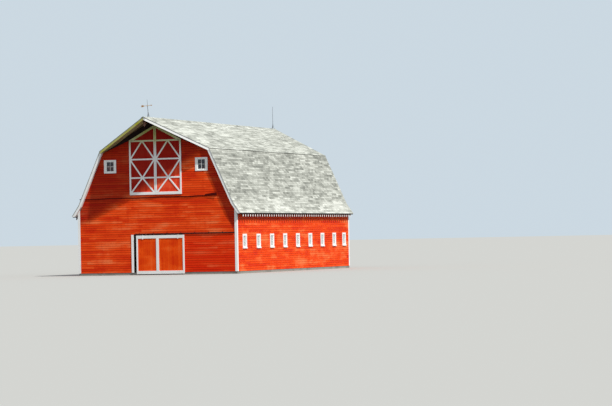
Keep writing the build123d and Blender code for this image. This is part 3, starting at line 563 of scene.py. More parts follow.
# %% [markdown]
# ## Bare and painted timber
# Inside, joists and rafters are raw sawn wood. Outside, the rafter tails are dark red, darkened
# further as painted shade, with white on the lower part of their cut ends and the upper part left
# dark as the eave's painted shadow. The roof boards are dark grey, weathered and darkened partly as
# painted shade under the hood and the eaves. The walls behind the siding are raw boards on the
# inside and near black on the outside, told apart by how far out the surface lies. That near black
# is painted shade, and shows only where the siding stops short of the hood.


# %% Timber finishes
def timber(name, dark, light):
    """Sawn wood with its grain along X."""
    material, tree, shader, place, (x, y, z) = finish(name, 0.85)
    fibre = fibres(tree, x, y, z, 70.0)
    colour = ramp(tree, fibre, [(0.3, dark), (0.7, light)])
    stain = patches(tree, place, size=0.6, start=0.45)
    colour = tint(tree, colour, stain, 0.5, dark)
    relief(tree, shader, fibre, 0.002)
    feed(tree, shader.inputs["Base Color"], colour)
    return material, tree, shader, colour, (x, y, z)


raw_dark, raw_light = srgb(96, 74, 52), srgb(150, 122, 90)
sawn_timber = timber("sawn_timber", raw_dark, raw_light)[0]
# Roof boards: weathered, and near black partly as painted shade under the hood and the eaves.
shade_dark_roof_boards = timber("shade_dark_roof_boards", srgb(34, 30, 30), srgb(60, 54, 52))[0]

outer_skin = 0.02
wall_boards, tree, shader, colour, (x, y, z) = timber("wall_boards", raw_dark, raw_light)
past_side = maths(tree, "GREATER_THAN", maths(tree, "ABSOLUTE", x), wall_x - outer_skin)
past_gable = maths(tree, "GREATER_THAN", maths(tree, "ABSOLUTE", y), back_y - outer_skin)
outside = maths(tree, "MAXIMUM", past_side, past_gable)
# The outer skin is near black as painted shade, where it shows under the hood above the siding.
colour = blend_colour(tree, outside, colour, srgb(30, 12, 10))
feed(tree, shader.inputs["Base Color"], colour)

# The tails are darkened as painted shade, and only the lower part of each cut end is white: the
# upper part stays dark as the eave's painted shadow.
cut_end, white_height = 0.012, 0.12
tail_low, tail_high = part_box("eave_tails_right")
painted_tails, tree, shader, colour, (x, y, z) = timber(
    "painted_tails", srgb(56, 10, 12), srgb(96, 20, 16)
)
at_end = maths(tree, "GREATER_THAN", maths(tree, "ABSOLUTE", x), tail_high.x - cut_end)
below_eave_shadow = maths(tree, "LESS_THAN", z, tail_low.z + white_height)
colour = blend_colour(tree, maths(tree, "MULTIPLY", at_end, below_eave_shadow), colour, fresh_white)
feed(tree, shader.inputs["Base Color"], colour)
print("timber finishes are made")

# %% [markdown]
# ## Concrete, glass and steel
# The foundation is cast concrete with damp patches. The gable windows are dark and show a little of
# the room behind them, with reddish patches of dust and painted reflection. Dust and a painted
# reflection of the sky make the side windows pale, so the glass lets only a share of the light
# through and the rest of its colour is dust and painted reflection. The steel is painted, and rust
# breaks through the paint in patches, and the track's paint is near black partly as painted shade.

# %% Concrete, glass and steel
concrete, tree, shader, place, _ = finish("concrete", 0.9)
sand = add(tree, "TexNoise", {"Vector": place, "Scale": 140.0, "Detail": 3.0}).outputs[0]
colour = ramp(tree, sand, [(0.3, srgb(128, 125, 118)), (0.7, srgb(168, 165, 156))])
damp = patches(tree, place, size=0.8, start=0.45)
colour = tint(tree, colour, damp, 0.5, srgb(104, 100, 92))
feed(tree, shader.inputs["Base Color"], colour)
relief(tree, shader, sand, 0.003)


def glass(name, reflection_and_dust_share, share, clean, reflection_and_dust_colour):
    """Window glass that lets a share of the light through, with patches that are partly dirty and
    partly painted reflection.
    """
    material, tree, shader, place, _ = finish(name, 0.06, 0.5)
    reflection_and_dust_patch = patches(tree, place, size=0.25, start=0.45)
    shader.inputs["Transmission Weight"].default_value = share
    feed(tree, shader.inputs["Base Color"], tint(tree, clean, reflection_and_dust_patch, reflection_and_dust_share, reflection_and_dust_colour))
    vary(tree, shader, "Roughness", reflection_and_dust_patch, 0.04, 0.30)
    return material


# Reddish patches on the gable glass are dust and painted reflection; the pale side glass is dust
# and a painted reflection of the sky.
window_glass = glass("window_glass", 0.9, 0.70, srgb(70, 66, 82), srgb(168, 100, 88))
dust_and_sky_glass = glass("dust_and_sky_glass", 1.0, 0.10, srgb(176, 182, 182), srgb(200, 203, 198))


def steel(name, paint, rust):
    """Painted steel with rust breaking through."""
    material, tree, shader, place, _ = finish(name, 0.55, 0.5)
    pitting = add(tree, "TexNoise", {"Vector": place, "Scale": 90.0, "Detail": 4.0}).outputs[0]
    rusted = patches(tree, place, size=0.14, start=0.42)
    feed(tree, shader.inputs["Base Color"], blend_colour(tree, rusted, paint, rust))
    vary(tree, shader, "Metallic", rusted, 0.6, 0.0)
    vary(tree, shader, "Roughness", rusted, 0.45, 0.85)
    relief(tree, shader, pitting, 0.001)
    return material


# The track's paint is near black, partly as painted shade for the shadow that it throws on the
# wall.
track_steel = steel("track_steel", srgb(40, 12, 10), srgb(66, 18, 10))
carrier_steel = steel("carrier_steel", srgb(164, 132, 122), srgb(128, 74, 54))
rod_steel = steel("rod_steel", srgb(34, 30, 30), srgb(58, 38, 30))
vane_steel = steel("vane_steel", srgb(206, 164, 104), srgb(164, 112, 70))
print("concrete, glass and steel are made")

# %% [markdown]
# ## Finishes for the frame's own pieces
# Where a CAD solid has the right shape already, such as a trim board or a rafter, it stays and only
# gets its finish. The doors, their frames and bracing and the ridge cap are replaced further on,
# and the walls and roof stay under the siding and shingles.

# %% Dress the carried-over nodes
node_finishes = {
    concrete: ["foundation_slab"],
    wall_boards: [
        *(f"front_wall_{part}" for part in ("left", "right", "band")),
        *(f"front_gable_{part}" for part in ("left", "right", "peak")),
        "back_wall", "left_wall", "right_wall",
    ],
    siding_red: ["track_board"],
    shade_dark_roof_boards: [
        f"roof_{part}_{side}" for part in ("upper", "lower") for side in ("left", "right")
    ],
    sawn_timber: ["loft_floor", "loft_joists", "roof_rafters", "hood_rafters"],
    painted_tails: ["eave_tails_left", "eave_tails_right"],
    barge_white: ["hood_barge_boards"],
    white_paint: [
        "front_rake_boards", "back_rake_boards", "corner_boards", "door_casings",
        "gable_window_frames", "left_window_frames", "right_window_frames", "door_hangers",
    ],
    soffit_white: ["hood_soffit_boards"],
    window_glass: ["gable_window_glass"],
    dust_and_sky_glass: ["left_window_glass", "right_window_glass"],
    track_steel: ["door_track", "hay_track"],
    carrier_steel: ["hay_carrier"],
    rod_steel: ["front_lightning_rod", "back_lightning_rod"],
    vane_steel: ["weather_vane"],
}
for material, names in node_finishes.items():
    for name in names:
        nodes[name].data.materials.clear()
        nodes[name].data.materials.append(material)
print("dressed", sum(map(len, node_finishes.values())), "nodes")

# %% [markdown]
# ## Working by hand, in code
# The pieces are modelled with the same operators that a person clicks. These helpers choose the
# piece, open it in edit mode, pick points by their place, and apply each modifier as soon as it is
# set.


# %% Selection and edit mode
def let_go():
    """Goes to object mode and deselects everything."""
    if bpy.context.mode != "OBJECT":
        bpy.ops.object.mode_set(mode="OBJECT")
    bpy.ops.object.select_all(action="DESELECT")


def choose(piece):
    """Makes a piece the only selected object, in object mode."""
    let_go()
    piece.select_set(True)
    bpy.context.view_layer.objects.active = piece


def pick(piece, kind, test):
    """Opens a piece in edit mode and selects the verts, edges or faces that pass a test."""
    choose(piece)
    bpy.ops.object.mode_set(mode="EDIT")
    bpy.ops.mesh.select_mode(type={"verts": "VERT", "edges": "EDGE", "faces": "FACE"}[kind])
    bpy.ops.mesh.select_all(action="DESELECT")
    mesh = bmesh.from_edit_mesh(piece.data)
    for part in getattr(mesh, kind):
        part.select_set(bool(test(part)))
    mesh.select_flush_mode()
    bmesh.update_edit_mesh(piece.data)


def reach(edge, axis):
    """How far an edge reaches along an axis."""
    return abs(edge.verts[0].co[axis] - edge.verts[1].co[axis])


def divide(piece, shortest, cuts):
    """Subdivides the edges that reach further than the shortest along X."""
    pick(piece, "edges", lambda edge: reach(edge, 0) > shortest)
    bpy.ops.mesh.subdivide(number_cuts=cuts)
    bpy.ops.object.mode_set(mode="OBJECT")


def shift(piece, test, offset):
    """Moves the vertices whose place passes a test."""
    pick(piece, "verts", lambda vertex: test(vertex.co))
    bpy.ops.transform.translate(value=offset)
    bpy.ops.object.mode_set(mode="OBJECT")


def trim(piece, point, normal, keep_both=False):
    """Cuts a piece with a plane. What lies on the normal's side goes, and the cut is closed."""
    pick(piece, "faces", lambda face: True)
    square, closed = Vector(normal).normalized(), not keep_both
    bpy.ops.mesh.bisect(plane_co=point, plane_no=square, use_fill=closed, clear_outer=closed)
    bpy.ops.object.mode_set(mode="OBJECT")


print("edit mode helpers are ready")


# %% Blocks, modifiers and copies
def block(name, low, high):
    """A cube primitive stretched between two corners, with its place in its mesh."""
    low, high = Vector(low), Vector(high)
    let_go()
    bpy.ops.mesh.primitive_cube_add(size=1, location=(low + high) / 2, scale=high - low)
    piece = bpy.context.active_object
    piece.name = name
    bpy.ops.object.transform_apply(location=True, rotation=True, scale=True)
    return piece


def modify(piece, kind, **settings):
    """Adds a modifier with these settings and applies it."""
    choose(piece)
    modifier = piece.modifiers.new(kind.lower(), kind)
    for key, value in settings.items():
        setattr(modifier, key, value)
    bpy.ops.object.modifier_apply(modifier=modifier.name)


def array(piece, count, offset):
    """Repeats a piece count times at a fixed step."""
    if count > 1:
        modify(
            piece, "ARRAY", count=count, use_relative_offset=False, use_constant_offset=True,
            constant_offset_displace=offset,
        )


def copy(piece, offset):
    """A copy with a mesh of its own, moved by an offset."""
    twin = piece.copy()
    twin.data = piece.data.copy()
    twin.data.transform(Matrix.Translation(offset))
    bpy.context.scene.collection.objects.link(twin)
    return twin


def join(pieces, name):
    """Joins pieces into the first."""
    choose(pieces[0])
    for piece in pieces:
        piece.select_set(True)
    bpy.ops.object.join()
    pieces[0].name = name
    return pieces[0]


def cut_out(piece, cutters):
    """Cuts the cutters' volume out of a piece, one Boolean each, and removes them."""
    for cutter in cutters:
        modify(piece, "BOOLEAN", operation="DIFFERENCE", solver="EXACT", object=cutter)
        bpy.data.objects.remove(cutter)


def place_by(piece, matrix):
    """Moves a piece's mesh by a matrix, with its object left at the origin."""
    piece.data.transform(matrix)
    piece.data.update()


print("modelling helpers are ready")

# %% [markdown]
# ## Uneven work, and handing a piece over
# No two boards or shingles lie quite alike. After an array, each copy is nudged a little and gets a
# tone that the materials read, part of it shared by a run of neighbours, as from one bundle. Every
# random draw has its own seed, so the barn is the same each time. A finished piece is then named,
# dressed, and made to ride on its body.

# %% Scatter and hand over
own_share = 0.35


def scatter(piece, size, play, seed, run=1):
    """Nudges each copy in an array by up to play and gives it a tone, part its own and part shared
    by a run of copies. Size is a copy's vertex count."""
    rng = np.random.default_rng(seed)
    count = len(piece.data.vertices) // size
    places = np.empty(len(piece.data.vertices) * 3, np.float32)
    piece.data.vertices.foreach_get("co", places)
    nudges = rng.uniform(-1, 1, (count, 3)) * play
    places = places.reshape(count, size, 3) + nudges[:, None]
    piece.data.vertices.foreach_set("co", places.astype(np.float32).ravel())
    shared = np.repeat(rng.random(count // run + 1), run)[:count]
    blend = own_share * rng.random(count) + (1 - own_share) * shared
    tones = piece.data.attributes.new("tone", "FLOAT", "POINT")
    tones.data.foreach_set("value", np.repeat(blend, size).astype(np.float32))


def hand_over(piece, name, body, material, replaced=()):
    """Names a finished piece, dresses it, and makes it ride on its body."""
    piece.name = name
    piece.data.name = name
    piece.data.materials.clear()
    piece.data.materials.append(material)
    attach(piece, body)
    if replaced:
        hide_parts(*replaced)
    piece.data.calc_loop_triangles()
    print(name, len(piece.data.loop_triangles), "triangles")


print("a copy's tone is", own_share, "its own")

# %% [markdown]
# ## Drop siding
# Drop siding is a board with a cove along its top edge, so that each board's foot throws a thin
# shadow line. One board is cut from a cube: a slice marks the cove, its front edge is pushed back,
# and the long edges are subdivided so that a noise can bow the board by a few millimetres. An array
# stacks it up the wall, and Boolean cutters leave room for the trim, as a carpenter would.

# %% One board and a wall of them
board_thickness = 0.020
board_gap = 0.001
cove_depth = 0.012
board_step = 0.6
board_play = (0, 0.0012, 0)
board_bow = (("Y", 0.006), ("Z", 0.007))
trim_gap = 0.003
wave_noise = bpy.data.textures.new("board_wave", "CLOUDS")
wave_noise.noise_scale = 1.1


def siding_board(length):
    """One drop siding board facing -Y, its foot at z = 0 and its middle at x = 0."""
    top = siding_width - board_gap
    piece = block("board", (-length / 2, -board_thickness, 0), (length / 2, 0, top))
    trim(piece, (0, 0, top - cove_height), (0, 0, 1), keep_both=True)
    front, cove_middle = -board_thickness / 2, top - cove_height / 2
    shift(piece, lambda p: p.y < front and p.z > cove_middle, (0, cove_depth, 0))
    divide(piece, length / 2, round(length / board_step))
    return piece


def siding_wall(length, height, seed):
    """Boards stacked from the wall's foot to a height, a little uneven as nailed boards are."""
    piece = siding_board(length)
    size = len(piece.data.vertices)
    array(piece, math.ceil(height / siding_width), (0, 0, siding_width))
    scatter(piece, size, board_play, seed)
    for direction, strength in board_bow:
        modify(
            piece, "DISPLACE", texture=wave_noise, direction=direction, strength=strength,
            mid_level=0.5,
        )
    place_by(piece, Matrix.Translation((0, 0, wall_foot)))
    return piece


print("a board is", siding_width, "high")

# %% Slopes that trim the gables
upper_slope, lower_slope = (ridge, knuckle), (knuckle, flare)
corner_board_width = 0.125
gable_span = 2 * (wall_x - corner_board_width - trim_gap)


def under_slope(piece, slope, drop):
    """Trims a gable piece on both sides to lie under a slope lowered by drop."""
    head, foot = slope
    for side in (-1, 1):
        point = (side * foot.x, 0, slope_z(head, foot, foot.x, drop))
        trim(piece, point, (-side * gradient(head, foot), 0, 1))


print("gable boards span", round(gable_span, 3), "m")

# %% [markdown]
# ## Holes round the windows and doors
# The frame knows where each window and door is, so the cutters are worked out from its boxes. A
# node such as the side windows' glass holds several panes, and its points fall into groups with
# gaps between them. Round each pane lie the sash, the lining and the casing boards.

# %% Window places from the glass
pane_gap = 1.0
lining_thickness, sash_width = 0.020, 0.045
gable_casing = (0.110, 0.057, 0.057)
side_casing = (0.080, 0.090, 0.070)
cutter_depth = 0.1


def pane_boxes(name, axis):
    """The lowest and highest corner of each pane in a glass node, told apart along an axis."""
    points = np.array([vertex.co for vertex in nodes[name].data.vertices])
    points = points[np.argsort(points[:, axis])]
    breaks = np.flatnonzero(np.diff(points[:, axis]) > pane_gap) + 1
    return [(Vector(group.min(0)), Vector(group.max(0))) for group in np.split(points, breaks)]


def hole(left, foot, right, head):
    """A cutter through the siding round a piece of trim."""
    low = (left - trim_gap, -cutter_depth, foot - trim_gap)
    return block("cutter", low, (right + trim_gap, cutter_depth, head + trim_gap))


def window_holes(panes, axis, side, casing):
    """Cutters round a wall's windows, from their panes and the widths of their side, head and sill
    boards. Side is -1 where the wall runs against the axis."""
    beside, above, below = (lining_thickness + sash_width + board for board in casing)
    holes = []
    for low, high in panes:
        left, right = sorted((side * low[axis], side * high[axis]))
        holes.append(hole(left - beside, low.z - below, right + beside, high.z + above))
    return holes


side_panes = pane_boxes("right_window_glass", 1)
gable_panes = pane_boxes("gable_window_glass", 0)
print(len(side_panes), "side windows and", len(gable_panes), "gable windows")

# %% Front siding
post_low, post_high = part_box("door_casings")
track_low, track_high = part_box("track_board")
loft_low, loft_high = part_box("loft_door_left")[0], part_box("loft_door_right")[1]
hay_low, hay_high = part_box("hay_track")
loft_door_drop = 0.360
siding_peak = 8.845
loft_hole = hole(loft_low.x, loft_low.z, loft_high.x, ridge.y)
under_slope(loft_hole, upper_slope, loft_door_drop - trim_gap)
front_siding = siding_wall(gable_span, ridge.y - wall_foot, 11)
front_holes = [
    loft_hole,
    *window_holes(gable_panes, 0, 1, gable_casing),
    hole(post_low.x, 0, post_high.x, track_low.z - trim_gap),
    hole(track_low.x, track_low.z, track_high.x, track_high.z),
    hole(hay_low.x, hay_low.z, hay_high.x, hay_high.z),
]
cut_out(front_siding, front_holes)
knuckle_board_foot = slope_z(ridge, knuckle, knuckle.x, edge_board_foot)
siding_head = Vector((0, siding_peak)), Vector((knuckle.x, knuckle_board_foot))
under_slope(front_siding, siding_head, trim_gap)
under_slope(front_siding, lower_slope, edge_board_foot + trim_gap)
place_by(front_siding, Matrix.Translation((0, front_y, 0)))
hand_over(front_siding, "front_siding", "barn", siding_red)

# %% Back siding
back_siding = siding_wall(gable_span, ridge.y - wall_foot, 12)
cut_out(back_siding, window_holes(gable_panes, 0, 1, gable_casing))
for slope in (upper_slope, lower_slope):
    under_slope(back_siding, slope, edge_board_foot + trim_gap)
place_by(back_siding, Matrix.Translation((0, back_y, 0)) @ Matrix.Rotation(math.pi, 4, "Z"))
hand_over(back_siding, "back_siding", "barn", siding_red)

# %% Side siding
side_span = back_y - front_y - 2 * (corner_board_width + trim_gap)
tail_foot = 3.83
for name, side, seed in (("right_siding", 1, 13), ("left_siding", -1, 14)):
    piece = siding_wall(side_span, tail_foot - wall_foot, seed)
    cut_out(piece, window_holes(side_panes, 1, side, side_casing))
    trim(piece, (0, 0, tail_foot), (0, 0, 1))
    quarter_turn = Matrix.Rotation(side * math.pi / 2, 4, "Z")
    place_by(piece, Matrix.Translation((side * wall_x, 0, 0)) @ quarter_turn)
    hand_over(piece, name, "barn", siding_red)

# %% [markdown]
# ## Belt seam and sprung board
# Where the gable's siding starts, its first board laps out over the wall below, and the lap has
# crept into a wave. It ends near the right, where a board has sprung from its nails. The belt is a
# strip that two waves bend, a slow and a quick one, and the sprung board is a short board turned
# out at its right end and broken away at its upper left.

# %% Belt
belt_level, belt_rise = 4.655, 0.035
belt_height, belt_thickness = 0.055, 0.030
belt_waves = ((0.012, 2.1, 0.6), (0.007, 5.3, 0.0))
belt_lean = 0.4
belt_cuts = 40
sprung_left, sprung_right = 3.20, 3.95
belt_low = (-gable_span / 2, -board_thickness - belt_thickness, 0)
belt = block("belt", belt_low, (gable_span / 2, -board_thickness, belt_height))
divide(belt, belt_height, belt_cuts)
for vertex in belt.data.vertices:
    x = vertex.co.x
    sway = sum(height * math.sin(rate * x + start) for height, rate, start in belt_waves)
    vertex.co.z += belt_level + belt_rise * x / (gable_span / 2) + sway
    vertex.co.y += belt_lean * sway
trim(belt, (sprung_right, 0, 0), (1, 0, 0))
place_by(belt, Matrix.Translation((0, front_y, 0)))
# The belt's dark red is painted shadow.
hand_over(belt, "belt_lap", "barn", seam_shadow_red)

# %% Sprung board
sprung_level, sprung_height = 4.73, 0.16
sprung_reach, sprung_left_reach, sprung_sag, broken_corner = 0.065, 0.065 / 3, 0.01, 0.09
sprung_wear = 0.003
sprung_middle = Vector(((sprung_left + sprung_right) / 2, 0, sprung_level + sprung_height / 2))
sprung = block(
    "sprung",
    (sprung_left, -2 * board_thickness, sprung_level),
    (sprung_right, -board_thickness, sprung_level + sprung_height),
)
shift(sprung, lambda p: p.x > sprung_middle.x, (0, -sprung_reach, -sprung_sag))
shift(sprung, lambda p: p.x < sprung_middle.x, (0, -sprung_left_reach, 0))
shift(
    sprung, lambda p: p.x < sprung_middle.x and p.z > sprung_middle.z, (0, 0, -broken_corner)
)
place_by(sprung, Matrix.Translation((0, front_y, 0)))
modify(sprung, "BEVEL", width=sprung_wear, segments=1)
# The sprung board's dark red is painted shadow.
hand_over(sprung, "sprung_board", "barn", seam_shadow_red)

# %% [markdown]
# ## Shingles
# A shingle tab is a thin wedge, about 300 mm wide and 180 mm long, with 127 mm of its length
# showing. Two rows, the second stepped by half a tab, are arrayed up each slope. Every tab is then
# nudged a few millimetres and given its own tone. The lower slope and the flare are laid the same
# way, each in its own plane, and the hood's edge is trimmed with a slanting cut.

# %% Shingle slope
tab_width = 0.305
tabs_in_strip = 3
tab_slot = 0.004
tab_exposure = 0.127
tab_length = 0.180
head_thickness = 0.004
butt_lift = 0.006
butt_thickness = 0.010
tab_play = (0.004, 0.003, 0.0012)


def shingle_tab():
    """One tab lying on the XY plane, its butt at x = 0 and the slope falling along +X."""
    low, high = (-tab_length, tab_slot / 2, 0), (0, tab_width - tab_slot / 2, head_thickness)
    piece = block("tab", low, high)
    middle_x, middle_z = -tab_length / 2, butt_lift + head_thickness / 2
    shift(piece, lambda p: p.x > middle_x, (0, 0, butt_lift))
    thicker = butt_thickness - head_thickness
    shift(piece, lambda p: p.x > middle_x and p.z > middle_z, (0, 0, thicker))
    return piece


def shingle_slope(head, foot, start_y, end_y, side, seed):
    """Shingles from a slope's foot to its head, on the right for side 1 and on the left for -1."""
    fall = foot - head
    rows = math.ceil(fall.length / tab_exposure)
    columns = math.ceil((end_y - start_y) / tab_width) + 2
    piece = shingle_tab()
    size = len(piece.data.vertices)
    array(piece, columns, (0, tab_width, 0))
    stepped = copy(piece, (-tab_exposure, tab_width / 2, 0))
    piece = join([piece, stepped], "shingles")
    array(piece, math.ceil(rows / 2), (-2 * tab_exposure, 0, 0))
    scatter(piece, size, tab_play, seed, tabs_in_strip)
    down = Vector((side * fall.x, 0, fall.y)).normalized()
    along = Vector((0, side, 0))
    axes = Matrix((down, along, down.cross(along))).transposed().to_4x4()
    lead = Matrix.Translation((0, min(side * start_y, side * end_y) - tab_width, 0))
    place_by(piece, Matrix.Translation((side * foot.x, 0, foot.y)) @ axes @ lead)
    trim(piece, (side * head.x, 0, head.y), -down)
    trim(piece, (0, start_y, 0), (0, -1, 0))
    trim(piece, (0, end_y, 0), (0, 1, 0))
    return piece


print("tabs of", tab_width, "by", tab_exposure, "m")

# %% Lay all slopes
rake_overhang, drip_overhang, eave_overhang = 0.022, 0.006, 0.018
past_board = edge_board_thickness + rake_overhang
first_y, last_y = rake_y - past_board, roof_back_y + past_board
drip_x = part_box("roof_upper_right")[1].x + drip_overhang
drip = Vector((drip_x, slope_z(ridge, knuckle, drip_x)))
eave_x = eave.x + eave_overhang
eave_edge = Vector((eave_x, slope_z(flare, eave, eave_x)))
prow = Vector((knuckle.x, rake_y - hood_tip_y))
prow_y = hood_tip_y - past_board * prow.length / prow.x
for word, side in (("right", 1), ("left", -1)):
    upper = shingle_slope(ridge, drip, prow_y, last_y, side, 21 + side)
    trim(upper, (0, prow_y, 0), (side * prow.y, -prow.x, 0))
    hand_over(upper, f"upper_shingles_{word}", "barn", shingle_stone)
    steep = shingle_slope(knuckle, flare, first_y, last_y, side, 31 + side)
    kick = shingle_slope(flare, eave_edge, first_y, last_y, side, 41 + side)
    lower = join([steep, kick], "lower")
    hand_over(lower, f"lower_shingles_{word}", "barn", shingle_stone)

# %% [markdown]
# ## Ridge shingles
# The ridge is closed by shingles folded over it, each lapping the next. One is cut from a thin
# block: its middle is marked with a slice and both wings are lowered to the roof's pitch. An array
# lays them from the back to the hood's tip, in place of the plain ridge cap.

# %% Ridge
wing = 0.150
cap_lift = 0.014
cap_exposure = 0.140
cap_length = 0.200
cap_thickness = 0.007
cap_play = (0.003, 0.004, 0.001)
fold = block("fold", (-wing, 0, 0), (wing, cap_length, cap_thickness))
trim(fold, (0, 0, 0), (1, 0, 0), keep_both=True)
shift(fold, lambda p: abs(p.x) > wing / 2, (0, 0, -pitch * wing))
shift(fold, lambda p: p.y < cap_length / 2, (0, 0, cap_thickness))
fold_size = len(fold.data.vertices)
array(fold, math.ceil((last_y - prow_y) / cap_exposure), (0, cap_exposure, 0))
scatter(fold, fold_size, cap_play, 51)
place_by(fold, Matrix.Translation((0, prow_y, ridge.y + cap_lift)))
trim(fold, (0, last_y, 0), (0, 1, 0))
hand_over(fold, "ridge_shingles", "barn", shingle_stone, ["ridge_cap"])

# %% [markdown]
# ## Planked doors
# All the doors are upright tongued planks with a V where two meet. A plank is a block with its long
# front edges bevelled, arrayed over the leaf. The loft leaves are then trimmed parallel to the
# roof, and the planks take the place of the plain solids.

# %% Planks
plank_seam = 0.0008
plank_bevel = 0.006
plank_play = (0, 0.0012, 0.003)


def planks(name, low, high, seed):
    """Upright planks that fill a box, with V joints on their front."""
    count = round((high.x - low.x) / plank_width)
    width = (high.x - low.x) / count
    left, right = low.x + plank_seam, low.x + width - plank_seam
    piece = block(name, (left, low.y, low.z), (right, high.y, high.z))
    middle_y = (low.y + high.y) / 2

    def is_long_and_in_front(edge):
        return reach(edge, 2) > plank_width and all(v.co.y < middle_y for v in edge.verts)

    pick(piece, "edges", is_long_and_in_front)
    bpy.ops.mesh.bevel(offset=plank_bevel, segments=1)
    bpy.ops.object.mode_set(mode="OBJECT")
    size = len(piece.data.vertices)
    array(piece, count, (width, 0, 0))
    scatter(piece, size, plank_play, seed)
    return piece


for word, seed in (("left", 61), ("right", 62)):
    name = f"loft_door_{word}"
    low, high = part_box(name)
    leaf = planks("leaf", low, Vector((high.x, high.y, ridge.y)), seed)
    under_slope(leaf, upper_slope, loft_door_drop)
    hand_over(leaf, f"loft_planks_{word}", "barn", loft_red, [name])
door_planks = planks("door", *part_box("sliding_door_boards"), 63)
hand_over(
    door_planks, "sliding_door_planks", "sliding_door", door_red,
    ["sliding_door_boards"],
)

# %% [markdown]
# ## White boards planted on the doors
# Each loft leaf has a frame of stiles and rails, with braces that make an upright V in the top
# panel and two slanting pairs below. Here each is its own board with eased edges, cut to the panel
# that it fills, so that the joints between them show as they do on the real doors.

# %% Boards with eased edges
eased_edge = 0.004
planted_play = (0, 0.0008, 0)


def ease(pieces, name, seed):
    """Joins boards, gives each a tone where all have as many points, and bevels their edges."""
    size = len(pieces[0].data.vertices)
    whole = join(pieces, name)
    if len(whole.data.vertices) == size * len(pieces):
        scatter(whole, size, planted_play, seed)
    modify(whole, "BEVEL", width=eased_edge, segments=2, limit_method="ANGLE")
    return whole


def slant_board(start, end, width, y_low, y_high, panel):
    """A board from start to end, (x, z) points, cut to a panel (left, foot, right, head)."""
    start, end = Vector(start), Vector(end)
    run, middle = end - start, (start + end) / 2
    half = run.length / 2 + width
    piece = block("brace", (-half, y_low, -width / 2), (half, y_high, width / 2))
    tilt = Matrix.Rotation(-math.atan2(run.y, run.x), 4, "Y")
    place_by(piece, Matrix.Translation((middle.x, 0, middle.y)) @ tilt)
    left, foot, right, head = panel
    for axis, edge, way in ((0, left, -1), (0, right, 1), (2, foot, -1), (2, head, 1)):
        point, normal = Vector(), Vector()
        point[axis], normal[axis] = edge, way
        trim(piece, point, normal)
    return piece


print("boards are eased by", eased_edge, "m")

# %% Loft door bracing
inner_stile, outer_stile, head_board = 0.080, 0.105, 0.140
top_rail, sill_rail, brace_width = 0.095, 0.165, 0.090
panel_height = 1.115
leaf_low, leaf_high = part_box("loft_door_bracing_right")
top_rail_z = slope_z(ridge, knuckle, leaf_high.x, loft_door_drop) - top_rail / 2
rail_levels = [
    (leaf_low.z + sill_rail / 2, sill_rail),
    (top_rail_z - 2 * panel_height, brace_width),
    (top_rail_z - panel_height, brace_width),
    (top_rail_z, top_rail),
]


def leaf_boards(side):
    """The white boards of one loft leaf, on the right for side 1."""
    inner, outer = leaf_low.x + inner_stile, leaf_high.x - outer_stile
    inner_middle, outer_middle = leaf_low.x + inner_stile / 2, leaf_high.x - outer_stile / 2
    middle = (inner_middle + outer_middle) / 2

    def flat(left, foot, right, head):
        ends = sorted((side * left, side * right))
        return block("rail", (ends[0], leaf_low.y, foot), (ends[1], leaf_high.y, head))

    boards = [
        flat(leaf_low.x, leaf_low.z, inner, ridge.y),
        flat(outer, leaf_low.z, leaf_high.x, ridge.y),
    ]
    for stile in boards:
        under_slope(stile, upper_slope, loft_door_drop)
    boards += [flat(inner, z - width / 2, outer, z + width / 2) for z, width in rail_levels]
    head = flat(inner, top_rail_z, outer, ridge.y)
    under_slope(head, upper_slope, loft_door_drop)
    below = slope_z(ridge, knuckle, outer, loft_door_drop + head_board)
    trim(head, (side * outer, 0, below), (-side * pitch, 0, -1))
    boards.append(head)
    (sill, sill_width), (low_z, low_width), (mid_z, mid_width), (top_z, top_width) = rail_levels
    braces = (
        (mid_z, top_z, mid_z + mid_width / 2, top_z - top_width / 2),
        (mid_z, low_z, low_z + low_width / 2, mid_z - mid_width / 2),
        (sill, low_z, sill + sill_width / 2, low_z - low_width / 2),
    )
    for outer_z, middle_z, foot, top in braces:
        for edge, board_x in ((inner, inner_middle), (outer, outer_middle)):
            left, right = sorted((side * edge, side * middle))
            start, end = (side * board_x, outer_z), (side * middle, middle_z)
            panel = (left, foot, right, top)
            boards.append(slant_board(start, end, brace_width, leaf_low.y, leaf_high.y, panel))
    return boards


for word, side, seed in (("left", -1, 71), ("right", 1, 72)):
    bracing = ease(leaf_boards(side), "bracing", seed)
    name = f"loft_door_bracing_{word}"
    hand_over(bracing, f"loft_bracing_boards_{word}", "barn", loft_white, [name])

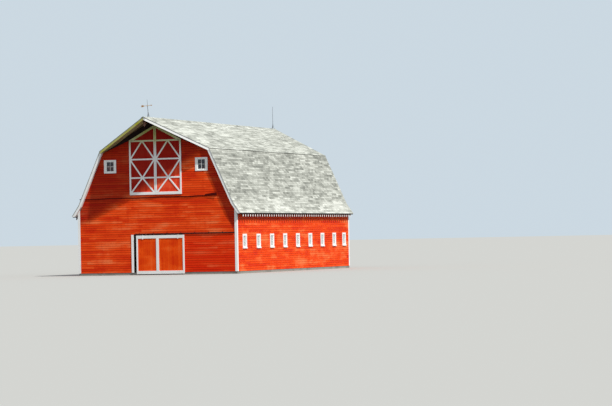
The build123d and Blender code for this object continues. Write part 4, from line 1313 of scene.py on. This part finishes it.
# %% Sliding door frame
left_stile, right_stile, rail = 0.105, 0.112, 0.187
middle_stile, middle_offset = 0.180, 1.390
low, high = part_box("sliding_door_frame")
middle_left = low.x + middle_offset - middle_stile / 2
middle_right = low.x + middle_offset + middle_stile / 2
stile_edges = [
    (low.x, low.x + left_stile),
    (middle_left, middle_right),
    (high.x - right_stile, high.x),
]
frame_boards = [
    block("rail", (low.x, low.y, foot), (high.x, high.y, foot + rail))
    for foot in (low.z, high.z - rail)
]
frame_boards += [
    block("stile", (left, low.y, low.z + rail), (right, high.y, high.z - rail))
    for left, right in stile_edges
]
door_frame = ease(frame_boards, "frame", 73)
hand_over(
    door_frame, "sliding_door_frame_boards", "sliding_door", white_paint,
    ["sliding_door_frame"],
)

# %% [markdown]
# ## Window bars
# Each sash has a cross of thin bars, which divides it into four lights. The bars lie in front of
# the glass, within the sash's thickness, and every window gets the same cross. A gable's box of
# panes reaches from the front gable to the back one, so both ends of it are used.

# %% Bars
bar_width = 0.020
bar_depth = 0.016
bar_lap = 0.001
glass_gap = 0.0005
glass_thickness = 0.004


def cross(low, high, axis):
    """Two bars that cross in front of a pane. Axis is the level direction of its wall."""
    middle = (low + high) / 2
    deep = 1 - axis
    outward = math.copysign(1, middle[deep])
    face = high[deep] if outward > 0 else low[deep]
    near, far = sorted((face + outward * glass_gap, face + outward * bar_depth))
    bars = []
    for other, lap in ((2, bar_lap), (axis, 0)):
        start, end = low.copy(), high.copy()
        start[other], end[other] = middle[other] - bar_width / 2, middle[other] + bar_width / 2
        start[deep], end[deep] = near, far - lap
        bars.append(block("bar", start, end))
    return bars


end_panes = []
for low, high in gable_panes:
    front_pane = low, Vector((high.x, low.y + glass_thickness, high.z))
    back_pane = Vector((low.x, high.y - glass_thickness, low.z)), high
    end_panes += [front_pane, back_pane]
left_panes = pane_boxes("left_window_glass", 1)
panes_of_walls = (("gable", end_panes, 0), ("right", side_panes, 1), ("left", left_panes, 1))
for word, panes, axis in panes_of_walls:
    bars = ease([bar for low, high in panes for bar in cross(low, high, axis)], "bars", 81)
    hand_over(bars, f"{word}_window_bars", "barn", white_paint)
